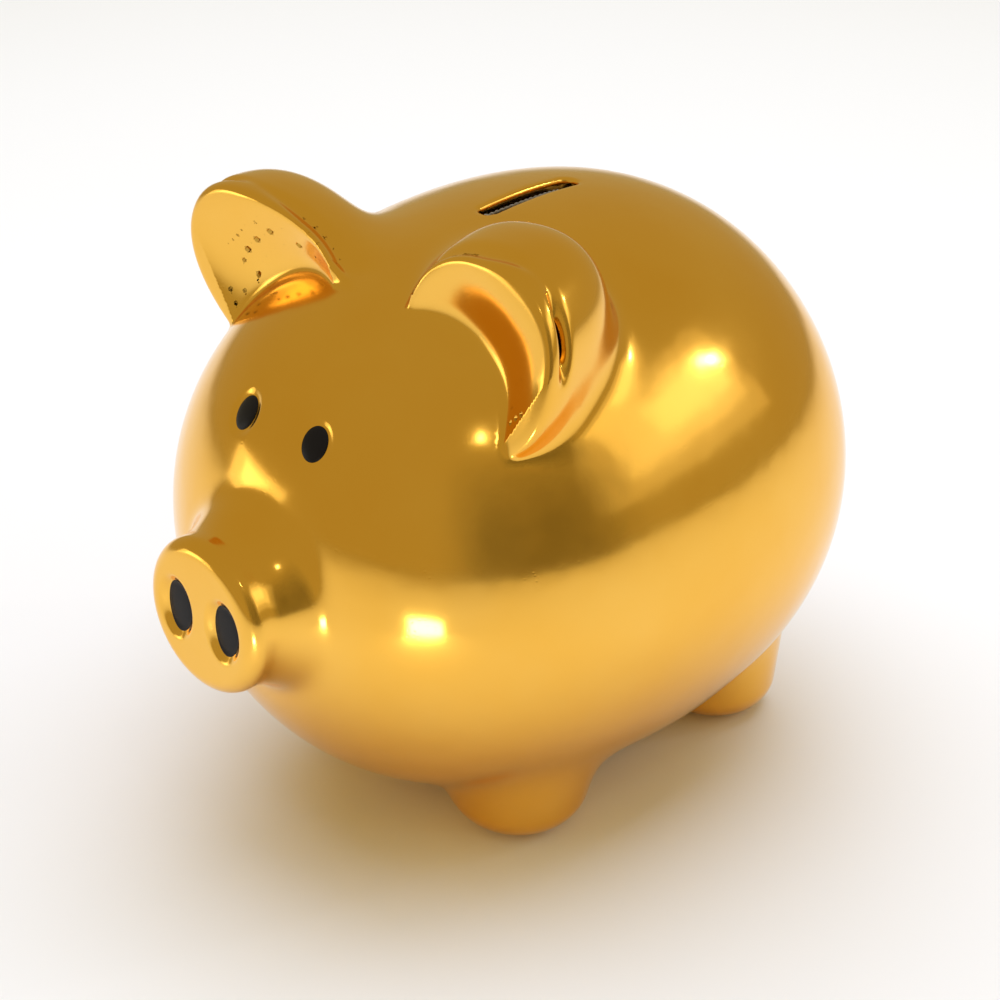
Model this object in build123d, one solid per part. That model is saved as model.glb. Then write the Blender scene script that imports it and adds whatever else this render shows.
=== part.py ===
"""Gilded ceramic pig coin bank, in millimetres.

The pig stands on its four feet on z = 0, faces -Y, and is symmetric about x = 0. It is a hollow slip-cast
egg with cast pieces luted on (snout, ears, legs, tail), fired black enamel for eyes and nostrils, and a
rubber stopper with a fold-down pull tab in the belly. Everything is modelled about the egg's own centre
and moved to the feet at the end, with the origin under the middle of the overall length.
"""

from build123d import *
import math
import os

# --- Egg-shaped shell -------------------------------------------------------------------------------
BODY_LENGTH = 176.0  # along Y, without snout and tail
BODY_DIAMETER = 150.1  # across the middle
BODY_TAPER = 0.046  # how much fuller the rump is than the face
BODY_FULLNESS = 0.183  # how much fuller the ends are than an ellipse's
WALL = 4.5  # cast wall of the shell
PROFILE_STEPS = 16  # spans of the egg's outline
BISECTIONS = 60  # halvings when a point on the egg's outline is looked for

# --- Coin slot --------------------------------------------------------------------------------------
SLOT_LENGTH = 32.0
SLOT_WIDTH = 5.0
SLOT_Y = 6.4  # middle of the slot, behind the egg's centre

# --- Belly flat, stopper seat and hole --------------------------------------------------------------
BELLY_CLEARANCE = 8.0  # floor to the flat under the belly
BELLY_CUT = 3.85  # how far the flat cuts into the egg
BELLY_WALL = 6.5  # thickness of the flat around the hole
HOLE_DIAMETER = 36.0
SEAT_DIAMETER = 45.5
SEAT_DEPTH = 2.4

# --- Rubber stopper ---------------------------------------------------------------------------------
FLANGE_CLEARANCE = 0.6  # radial, flange to seat
FLANGE_THICKNESS = 2.0
PLUG_CLEARANCE = 0.1  # radial, sealing ribs to hole
PLUG_HEIGHT = 11.0  # from the flange's upper face into the shell
PLUG_ROOF = 2.0
PLUG_WALL = 3.0
RIB_RELIEF = 0.7  # how far the plug's wall lies inside its ribs
RIB_HEIGHT = 1.4
RIB_COUNT = 3

# --- Pull tab, folded flat in the stopper's finger recess ---------------------------------------------
TAB_THICKNESS = 1.8
TAB_WIDTH = 13.0
TAB_LENGTH = 18.5  # from the hinge's axis to the rounded end
TAB_EYE_DIAMETER = 6.5
TAB_GAP = 0.3  # between the tab's root and the ledge that it folds on
LEDGE_HEIGHT = 3.6
LEDGE_DEPTH = 4.2  # from the recess's wall, in the middle

# --- Snout ------------------------------------------------------------------------------------------
SNOUT_PROJECTION = 14.2  # from the egg's front pole to the snout's front
SNOUT_FRONT_RADIUS = 19.3
SNOUT_ROOT_RADIUS = 25.0  # where the flare meets the face
SNOUT_Z = 0.3  # above the egg's axis
SNOUT_EDGE = 4.0  # rounding of the front rim
SNOUT_WALL = 4.5
NOSTRIL_SPACING = 16.6
NOSTRIL_WIDTH = 11.4  # pocket
NOSTRIL_HEIGHT = 16.4
NOSTRIL_DEPTH = 1.6
NOSTRIL_BORDER = 1.6  # gilded border of the pocket around the enamel

# --- Eyes -------------------------------------------------------------------------------------------
EYE_X = 11.9
EYE_Z = 40.2  # above the egg's axis
EYE_WIDTH = 11.2  # pocket
EYE_HEIGHT = 12.6
EYE_DEPTH = 0.9
EYE_BORDER = 1.6
ENAMEL_THICKNESS = 0.4

# --- Ears -------------------------------------------------------------------------------------------
EAR_ANGLE = 31.5  # from the top of the egg round to the ear's middle
EAR_PLACE = 0.5  # the dome's widest section, as a share of the way from the egg's middle to its front pole
EAR_SINK = 1.5  # how far the dome's centre lies under the egg's surface
EAR_HALF_WIDTH = 23.0
EAR_HALF_DEPTH = 34.0
EAR_RISE = 29.8
EAR_FACE_OFFSET = 2.6  # the front face lies this far before the widest section, at the dome's centre
EAR_LEAN = 16.0  # the front face leans forward as it rises
EAR_LIP = 3.2  # rim around the dish
EAR_DISH_DEPTH = 9.0
EAR_WALL = 4.5

# --- Legs -------------------------------------------------------------------------------------------
LEG_X = 27.0
LEG_FRONT_Y = -24.2
LEG_REAR_Y = 53.6
LEG_FOOT_RADIUS = 15.6  # of the sole, before its edge is rounded
LEG_FLARE = 0.28  # added radius for each millimetre of height
LEG_TOP = 27.2  # the leg's top, inside the egg, lies this far below the egg's axis
LEG_FRONT_LEAN = (2.0, 0.0)  # how far the top lies inwards and towards the middle of the egg
LEG_REAR_LEAN = (7.0, 6.5)
LEG_EDGE = 9.5  # rounding of the sole
LEG_WALL = 4.5

# --- Tail -------------------------------------------------------------------------------------------
TAIL_Z = 22.0  # above the egg's axis
TAIL_THICKNESS = 5.8
TAIL_SINK = 1.4  # how far the curl is pressed into the rump
TAIL_OUTER_RADIUS = 8.6  # of the first arc, from the root, to the middle of the clay
TAIL_INNER_RADIUS = 4.3  # of the second arc, to the tip
TAIL_ROOT_ANGLE = -120.0
TAIL_OUTER_SWEEP = 250.0
TAIL_INNER_SWEEP = 195.0

VENT_DIAMETER = 5.0  # holes that let a hollow cast piece breathe into the shell

HALF_LENGTH = BODY_LENGTH / 2
BODY_RADIUS = BODY_DIAMETER / 2
BELLY_Z = BELLY_CUT - BODY_RADIUS
AXIS_HEIGHT = BELLY_CLEARANCE - BELLY_Z  # the egg's long axis above the floor
LEG_HEIGHT = AXIS_HEIGHT - LEG_TOP
SNOUT_REACH = HALF_LENGTH + SNOUT_PROJECTION
EAR_Y = -EAR_PLACE * HALF_LENGTH
HOLE_Y = (LEG_FRONT_Y + LEG_REAR_Y) / 2  # the stopper sits midway between the legs
FAR = 4 * BODY_LENGTH  # larger than the whole object


def egg_radius(y, half_length=HALF_LENGTH, radius=BODY_RADIUS):
    """Radius of the egg at y."""
    s = max(-1.0, min(1.0, y / half_length))
    return radius * math.sqrt(1 - s * s) * (1 + BODY_TAPER * s + BODY_FULLNESS * s * s)


def egg(offset=0.0):
    """The egg as a solid of revolution about Y, with its surface moved out by offset."""
    half_length = HALF_LENGTH + offset
    angles = [math.pi * (k / PROFILE_STEPS - 0.5) for k in range(PROFILE_STEPS + 1)]
    points = [
        (egg_radius(half_length * math.sin(a), half_length, BODY_RADIUS + offset), half_length * math.sin(a))
        for a in angles
    ]
    points[0] = (0, -half_length)
    points[-1] = (0, half_length)
    outline = Spline(*points, tangents=((1, 0), (-1, 0)), tangent_scalars=(1, 1))
    section = make_face(outline + Line(points[-1], points[0]))
    return revolve(section, axis=Axis.Y)


def egg_reach(radius, side):
    """How far from the egg's middle, towards the front (side -1) or the rump (side 1), it has this radius."""
    low, high = 0.0, HALF_LENGTH
    for _ in range(BISECTIONS):
        middle = (low + high) / 2
        if egg_radius(side * middle) > radius:
            low = middle
        else:
            high = middle
    return middle


def skin_plane(x, z, side):
    """A plane on the egg's surface at x and z, its Z out of the surface and its Y upwards.

    The point is on the front of the egg (side -1) or on the rump (side 1).
    """
    radius = math.hypot(x, z)
    y = side * egg_reach(radius, side)
    step = HALF_LENGTH / 10000
    slope = (egg_radius(y + step) - egg_radius(y - step)) / (2 * step)
    normal = Vector(x / radius, -slope, z / radius).normalized()
    sideways = Vector(0, 0, 1).cross(normal).normalized()
    return Plane(origin=(x, y, z), x_dir=sideways, z_dir=normal)


def both_sides(shape):
    """The shape and its mirror image across x = 0."""
    return shape, mirror(shape, about=Plane.YZ)


def oval(plane, width, height, bottom, top):
    """An upright oval plug on a plane, between two heights above it."""
    sketch = plane.offset(bottom) * Ellipse(width / 2, height / 2)
    return extrude(sketch, top - bottom, dir=plane.z_dir)


def vent(plane):
    """A breathing hole through the shell's wall, along a plane's Z."""
    return plane * Cylinder(VENT_DIAMETER / 2, 6 * WALL)


# --- Frames that several pieces share ---------------------------------------------------------------
EYE_PLANE = skin_plane(EYE_X, EYE_Z, side=-1)
EAR_SIN = math.sin(math.radians(EAR_ANGLE))
EAR_COS = math.cos(math.radians(EAR_ANGLE))
EAR_CENTRE_RADIUS = egg_radius(EAR_Y) - EAR_SINK
EAR_FRAME = Plane(
    origin=(EAR_CENTRE_RADIUS * EAR_SIN, EAR_Y, EAR_CENTRE_RADIUS * EAR_COS),
    x_dir=(EAR_COS, 0, -EAR_SIN),
    z_dir=(EAR_SIN, 0, EAR_COS),
)
NOSTRIL_PLANE = Plane(origin=(NOSTRIL_SPACING / 2, -SNOUT_REACH, SNOUT_Z), x_dir=(1, 0, 0), z_dir=(0, -1, 0))
LEG_PLACES = {
    "front_left_leg": (LEG_X, LEG_FRONT_Y, LEG_FRONT_LEAN),
    "front_right_leg": (-LEG_X, LEG_FRONT_Y, LEG_FRONT_LEAN),
    "rear_left_leg": (LEG_X, LEG_REAR_Y, LEG_REAR_LEAN),
    "rear_right_leg": (-LEG_X, LEG_REAR_Y, LEG_REAR_LEAN),
}


def body_blank():
    """The shell's outer form: the egg with its flat belly, which every luted piece is cut to."""
    return egg() - Pos(0, 0, BELLY_Z - FAR / 2) * Box(FAR, FAR, FAR)


def body_shell(blank):
    """The hollow shell with its slot, belly hole and seat, eye pockets and breathing holes."""
    floor_cut = Pos(0, 0, BELLY_Z + BELLY_WALL - FAR / 2) * Box(FAR, FAR, FAR)
    cavity = egg(-WALL) - floor_cut
    slot_sketch = Pos(0, SLOT_Y, BODY_RADIUS / 2) * Rot(0, 0, 90) * SlotOverall(SLOT_LENGTH, SLOT_WIDTH)
    slot = extrude(slot_sketch, BODY_RADIUS)
    hole = Pos(0, HOLE_Y, BELLY_Z) * Cylinder(HOLE_DIAMETER / 2, 3 * BELLY_WALL)
    seat = Pos(0, HOLE_Y, BELLY_Z) * Cylinder(SEAT_DIAMETER / 2, 2 * SEAT_DEPTH)
    shell = blank - cavity - slot - hole - seat
    for pocket in both_sides(oval(EYE_PLANE, EYE_WIDTH, EYE_HEIGHT, -EYE_DEPTH, 2 * WALL)):
        shell -= pocket
    for x, y, _ in LEG_PLACES.values():
        shell -= vent(Plane(origin=(x, y, -math.sqrt(egg_radius(y) ** 2 - x * x))))
    ear_vent_plane = Plane(
        origin=EAR_FRAME.from_local_coords(Vector(0, EAR_HALF_DEPTH / 4, 0)), z_dir=EAR_FRAME.z_dir
    )
    for hole in both_sides(vent(ear_vent_plane)):
        shell -= hole
    return shell - vent(Plane(origin=(0, -HALF_LENGTH, SNOUT_Z), z_dir=(0, -1, 0)))


def snout(blank):
    """A hollow flared cup, closed in front, with two nostril pockets."""
    root_y = -HALF_LENGTH / 2
    face_y = -egg_reach(SNOUT_ROOT_RADIUS, side=-1)
    front = -SNOUT_REACH
    neck = SNOUT_EDGE / 2  # the side wall runs straight behind the rim for this far
    outline = Polyline((0, root_y), (0, front), (SNOUT_FRONT_RADIUS - SNOUT_EDGE, front))
    outline += RadiusArc(
        (SNOUT_FRONT_RADIUS - SNOUT_EDGE, front), (SNOUT_FRONT_RADIUS, front + SNOUT_EDGE), -SNOUT_EDGE
    )
    outline += Line((SNOUT_FRONT_RADIUS, front + SNOUT_EDGE), (SNOUT_FRONT_RADIUS, front + SNOUT_EDGE + neck))
    outline += Spline(
        (SNOUT_FRONT_RADIUS, front + SNOUT_EDGE + neck),
        (SNOUT_ROOT_RADIUS, face_y),
        tangents=((0, 1), (1, 0.35)),
    )
    outline += Polyline((SNOUT_ROOT_RADIUS, face_y), (SNOUT_ROOT_RADIUS, root_y), (0, root_y))
    cup = revolve(make_face(outline), axis=Axis.Y)
    hollow_radius = SNOUT_FRONT_RADIUS - SNOUT_WALL
    hollow_front = front + SNOUT_WALL + NOSTRIL_DEPTH
    hollow_length = root_y - hollow_front
    hollow = Pos(0, (root_y + hollow_front) / 2, 0) * Rot(90, 0, 0) * Cylinder(hollow_radius, hollow_length)
    cup = Pos(0, 0, SNOUT_Z) * (cup - hollow) - blank
    for pocket in both_sides(oval(NOSTRIL_PLANE, NOSTRIL_WIDTH, NOSTRIL_HEIGHT, -NOSTRIL_DEPTH, WALL)):
        cup -= pocket
    return cup


def enamel(plane, width, height, border, depth):
    """A thin oval of fired enamel on the floor of a pocket."""
    return oval(plane, width - 2 * border, height - 2 * border, -depth, -depth + ENAMEL_THICKNESS)


def ear_dome(inset=0.0):
    """The ear's egg-like dome in its own frame, shrunk by inset."""
    return scale(
        Sphere(1), by=(EAR_HALF_WIDTH - inset, EAR_HALF_DEPTH - inset, EAR_RISE - inset)
    )


def ear_front_cut(behind):
    """Everything in front of the leaning face, moved back by behind."""
    face = Pos(0, -EAR_FACE_OFFSET, 0) * Rot(EAR_LEAN, 0, 0) * Pos(0, behind - FAR / 2, 0)
    return face * Box(FAR, FAR, FAR)


def left_ear(blank):
    """A hollow dome cut by a leaning face, with a dish behind a lip, seated on the egg."""
    dish = ear_dome(EAR_LIP) & ear_front_cut(EAR_DISH_DEPTH)
    hollow = ear_dome(EAR_WALL) - ear_front_cut(EAR_DISH_DEPTH + EAR_WALL)
    dome = EAR_FRAME * (ear_dome() - ear_front_cut(0))
    raised_dish = EAR_FRAME * dish - egg(EAR_LIP)
    return dome - raised_dish - EAR_FRAME * hollow - blank


def leg(blank, x, y, lean):
    """A hollow tapered stub that leans inwards, with a rounded sole, seated on the shell."""
    top = (x - math.copysign(lean[0], x), y - math.copysign(lean[1], y))
    top_radius = LEG_FOOT_RADIUS + LEG_FLARE * LEG_HEIGHT

    def cone(inset, bottom):
        foot = Pos(x, y, bottom - AXIS_HEIGHT) * Circle(LEG_FOOT_RADIUS - inset)
        crown = Pos(*top, LEG_HEIGHT - AXIS_HEIGHT) * Circle(top_radius - inset)
        return loft([foot, crown])

    stub = cone(0, 0)
    stub = fillet(stub.edges().sort_by(Axis.Z)[0], LEG_EDGE)
    return stub - cone(LEG_WALL, LEG_WALL) - blank


def tail(blank):
    """A clay coil curled flat against the rump in two tangent arcs, with rounded ends."""
    plane = skin_plane(0, TAIL_Z, side=1).offset(TAIL_THICKNESS / 2 - TAIL_SINK)
    turn = math.radians(TAIL_ROOT_ANGLE + TAIL_OUTER_SWEEP)
    step = TAIL_OUTER_RADIUS - TAIL_INNER_RADIUS
    inner_centre = (step * math.cos(turn), step * math.sin(turn))
    outer = CenterArc((0, 0), TAIL_OUTER_RADIUS, TAIL_ROOT_ANGLE, TAIL_OUTER_SWEEP)
    inner = CenterArc(inner_centre, TAIL_INNER_RADIUS, math.degrees(turn), TAIL_INNER_SWEEP)
    spine = plane * (outer + inner)
    curl = sweep(Plane(origin=spine @ 0, z_dir=spine % 0) * Circle(TAIL_THICKNESS / 2), path=spine)
    for end in (spine @ 0, spine @ 1):
        curl += Pos(*end) * Sphere(TAIL_THICKNESS / 2)
    return curl - blank


# --- Stopper sizes that the plug and its tab share ----------------------------------------------------
RIB_RADIUS = HOLE_DIAMETER / 2 - PLUG_CLEARANCE
CORE_RADIUS = RIB_RADIUS - RIB_RELIEF
RECESS_RADIUS = CORE_RADIUS - PLUG_WALL
FLANGE_Z = BELLY_Z + SEAT_DEPTH  # the flange's upper face, against the seat
STOPPER_BOTTOM = FLANGE_Z - FLANGE_THICKNESS
LEDGE_Y = HOLE_Y - RECESS_RADIUS + LEDGE_DEPTH
HINGE_Y = LEDGE_Y + TAB_GAP + TAB_THICKNESS / 2
HINGE_Z = STOPPER_BOTTOM + TAB_THICKNESS / 2


def stopper_plug():
    """The rubber stopper: flange, ribbed plug closed at the top, and a finger recess open below."""
    top = FLANGE_Z + PLUG_HEIGHT
    flange = Pos(0, 0, STOPPER_BOTTOM + FLANGE_THICKNESS / 2) * Cylinder(
        SEAT_DIAMETER / 2 - FLANGE_CLEARANCE, FLANGE_THICKNESS
    )
    flange = fillet(flange.edges().sort_by(Axis.Z)[0], FLANGE_THICKNESS * 0.4)
    core = Pos(0, 0, (STOPPER_BOTTOM + top) / 2) * Cylinder(CORE_RADIUS, top - STOPPER_BOTTOM)
    plug = flange + core
    spacing = (PLUG_HEIGHT - RIB_HEIGHT) / RIB_COUNT
    for k in range(RIB_COUNT):
        plug += Pos(0, 0, FLANGE_Z + spacing * (k + 1)) * Cylinder(RIB_RADIUS, RIB_HEIGHT)
    recess_height = top - PLUG_ROOF - STOPPER_BOTTOM
    recess = Pos(0, 0, STOPPER_BOTTOM + recess_height / 2) * Cylinder(RECESS_RADIUS, recess_height)
    ledge_zone = Pos(0, LEDGE_Y - HOLE_Y - RECESS_RADIUS, STOPPER_BOTTOM + LEDGE_HEIGHT / 2) * Box(
        2 * RECESS_RADIUS, 2 * RECESS_RADIUS, LEDGE_HEIGHT
    )
    return Pos(0, HOLE_Y, 0) * (plug - (recess - ledge_zone))


def stopper_tab():
    """The flat pull tab, rounded about its hinge at the root, with a round end and an eye."""
    reach = TAB_LENGTH - TAB_WIDTH / 2
    blade = Pos(0, reach / 2, 0) * Box(TAB_WIDTH, reach, TAB_THICKNESS)
    blade += Rot(0, 90, 0) * Cylinder(TAB_THICKNESS / 2, TAB_WIDTH)
    blade += Pos(0, reach, 0) * Cylinder(TAB_WIDTH / 2, TAB_THICKNESS)
    blade -= Pos(0, reach, 0) * Cylinder(TAB_EYE_DIAMETER / 2, 2 * TAB_THICKNESS)
    return Pos(0, HINGE_Y, HINGE_Z) * blade


def main():
    """Builds every piece, moves them onto the floor and writes one STEP file for each."""
    blank = body_blank()
    pieces = {"body_shell": body_shell(blank), "snout": snout(blank)}
    pieces["left_ear"], pieces["right_ear"] = both_sides(left_ear(blank))
    for name, (x, y, lean) in LEG_PLACES.items():
        pieces[name] = leg(blank, x, y, lean)
    pieces["tail"] = tail(blank)
    eye = enamel(EYE_PLANE, EYE_WIDTH, EYE_HEIGHT, EYE_BORDER, EYE_DEPTH)
    pieces["left_eye"], pieces["right_eye"] = both_sides(eye)
    nostril = enamel(NOSTRIL_PLANE, NOSTRIL_WIDTH, NOSTRIL_HEIGHT, NOSTRIL_BORDER, NOSTRIL_DEPTH)
    pieces["left_nostril"], pieces["right_nostril"] = both_sides(nostril)
    pieces["stopper_plug"] = stopper_plug()
    pieces["stopper_tab"] = stopper_tab()
    rear = pieces["tail"].bounding_box().max.Y
    to_floor = Pos(0, (SNOUT_REACH - rear) / 2, AXIS_HEIGHT)
    os.makedirs("parts", exist_ok=True)
    for name, piece in pieces.items():
        export_step(to_floor * piece, f"parts/{name}.step")


main()
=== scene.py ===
"""Looks of a gilded ceramic pig coin bank: mirror gold shell, black enamel dots, rubber belly stopper.

Forms are written in millimetres about the egg's own centre, and become metres in the frame when a mesh is
made. The pig faces -Y. Every gold piece is cut from one continuous skin, so that the joins between shell,
snout, ears and legs have the soft fillets of luted clay under a glaze.
"""

import logging
import math
from collections.abc import Callable
from dataclasses import dataclass, field
from enum import Enum

import bmesh
import bpy
import numpy as np
from mathutils import Matrix, Vector


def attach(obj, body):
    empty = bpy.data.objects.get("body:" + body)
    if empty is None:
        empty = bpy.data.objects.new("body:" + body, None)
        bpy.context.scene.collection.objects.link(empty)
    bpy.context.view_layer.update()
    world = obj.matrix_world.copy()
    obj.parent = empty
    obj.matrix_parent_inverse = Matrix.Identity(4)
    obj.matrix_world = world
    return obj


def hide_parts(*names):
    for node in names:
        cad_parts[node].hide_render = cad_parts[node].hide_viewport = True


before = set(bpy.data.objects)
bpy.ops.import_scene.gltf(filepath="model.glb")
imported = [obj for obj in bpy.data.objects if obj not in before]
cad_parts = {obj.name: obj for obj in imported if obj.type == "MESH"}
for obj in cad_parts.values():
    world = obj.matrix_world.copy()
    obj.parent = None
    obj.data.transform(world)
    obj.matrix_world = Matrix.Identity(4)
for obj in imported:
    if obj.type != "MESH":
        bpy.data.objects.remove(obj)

log = logging.getLogger("coin_bank")
Array = np.ndarray

MM = 0.001
EGG_CENTRE = np.array([0.0, 5.198, 79.2])  # where the egg's own centre lies in the frame, mm
FAR_AWAY = 40.0  # a distance that stands for "nowhere near this form", mm


class Slot(Enum):
    """Material slots of the record."""

    GILT = "gilded_ceramic"
    ENAMEL = "black_enamel"
    RUBBER = "stopper_rubber"


class Body(Enum):
    """Bodies of the mechanism."""

    BANK = "bank"
    STOPPER = "stopper"
    TAB = "pull_tab"


# --- Blending of forms ----------------------------------------------------------------------------------


def smooth_min(a: Array, b: Array, reach: float) -> Array:
    """Joins two forms with a fillet.

    Args:
        a: Distances to the first form.
        b: Distances to the second form.
        reach: How far from the join the fillet begins, mm.

    Returns:
        Distances to the joined form.
    """
    overlap = np.maximum(reach - np.abs(a - b), 0.0) / reach
    return np.minimum(a, b) - overlap**3 * reach / 6.0


def smooth_max(a: Array, b: Array, reach: float) -> Array:
    """Keeps what two forms share, with a rounded edge; the arguments are those of smooth_min."""
    return -smooth_min(-a, -b, reach)


def fade(value: Array, start: float, end: float) -> Array:
    """A smooth step.

    Args:
        value: Where along the step.
        start: Value at which the result is 0.
        end: Value at which the result is 1.

    Returns:
        Numbers from 0 to 1.
    """
    t = np.clip((value - start) / (end - start), 0.0, 1.0)
    return t * t * (3.0 - 2.0 * t)


def round_corner(side: Array, end: Array, radius: float) -> Array:
    """The corner between a side wall and an end wall, rounded by a true arc.

    Args:
        side: Distances to the side wall.
        end: Distances to the end wall.
        radius: Radius of the arc, mm.

    Returns:
        Distances to the rounded form.
    """
    a, b = side + radius, end + radius
    return np.minimum(np.maximum(a, b), 0.0) + np.hypot(np.maximum(a, 0.0), np.maximum(b, 0.0)) - radius


# --- Forms of the pig ------------------------------------------------------------------------------------


@dataclass(frozen=True)
class EggForm:
    """The egg-shaped shell, fuller at the rump than at the face."""

    half_length: float = 88.0
    radius: float = 75.05
    taper: float = 0.046
    fullness: float = 0.183
    belly: float = -71.2  # height of the flat under the belly
    belly_round: float = 3.0

    def distance(self, p: Array, grow: float = 0.0) -> Array:
        """Distances to the egg without its flat, moved out by grow.

        Args:
            p: Points, one row each, mm.
            grow: How far the egg is moved out, mm.

        Returns:
            The distances, mm.
        """
        length, radius = self.half_length + grow, self.radius + grow
        along = p[..., 1] / length
        s = np.clip(along, -1.25, 1.25)
        full = 1.0 + self.taper * s + self.fullness * s * s
        slope = self.taper + 2.0 * self.fullness * s
        ratio = np.hypot(p[..., 0], p[..., 2]) / (radius * full)
        size = np.maximum(np.hypot(ratio, along), 0.05)
        across_slope = ratio / (radius * full * size)
        along_slope = (along - ratio**2 * slope / full) / (length * size)
        return (size - 1.0) / np.maximum(np.hypot(across_slope, along_slope), 1e-4)

    def outer(self, p: Array) -> Array:
        """Distances to the egg with its flat belly."""
        return smooth_max(self.distance(p), self.belly - p[..., 2], self.belly_round)

    def front_point(self, x: float, z: float) -> Array:
        """The point on the front of the egg at x and z.

        Args:
            x: Across, mm.
            z: Height above the axis, mm.

        Returns:
            The point, mm.
        """
        low, high = -self.half_length, 0.0
        for _ in range(50):
            y = (low + high) / 2.0
            inside = self.distance(np.array([x, y, z])) < 0.0
            low, high = (low, y) if inside else (y, high)
        return np.array([x, y, z])


@dataclass(frozen=True)
class SnoutForm:
    """A round snout that flares into the face, with a rolled front rim."""

    front: float = -102.2
    radius: float = 19.3
    root_radius: float = 25.6
    height: float = 0.3
    edge: float = 4.0
    flare_from: float = -96.0
    flare_to: float = -83.0
    fillet_reach: float = 3.0
    nostril_x: float = 8.3
    nostril_half_width: float = 6.0
    nostril_half_height: float = 8.5
    nostril_depth: float = 1.7

    def near(self, p: Array) -> Array:
        """Which points are close enough to matter."""
        return (p[..., 1] < -55.0) & (np.hypot(p[..., 0], p[..., 2]) < 36.0)

    def fillet(self, p: Array) -> float:
        """The reach of the fillet around the snout's root."""
        return self.fillet_reach

    def nostril_reach(self, p: Array) -> Array:
        """How far out in the nearer nostril's oval a point is: 0 in its middle, 1 on its rim.

        Args:
            p: Points, one row each, mm.

        Returns:
            The share of the way out, for each point.
        """
        across = (np.abs(p[..., 0]) - self.nostril_x) / self.nostril_half_width
        up = (p[..., 2] - self.height) / self.nostril_half_height
        return np.hypot(across, up)

    def distance(self, p: Array) -> Array:
        """Distances to the snout with its nostril dishes.

        Args:
            p: Points, one row each, mm.

        Returns:
            The distances, mm.
        """
        t = np.clip((p[..., 1] - self.flare_from) / (self.flare_to - self.flare_from), 0.0, 1.2)
        wall = self.radius + (self.root_radius - self.radius) * t**1.8
        side = np.hypot(p[..., 0], p[..., 2] - self.height) - wall
        cup = round_corner(side * 0.96, self.front - p[..., 1], self.edge)
        dish = self.nostril_depth * (1.0 - fade(self.nostril_reach(p), 0.62, 1.06))
        return cup + dish * (p[..., 1] < self.front + 8.0)


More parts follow.
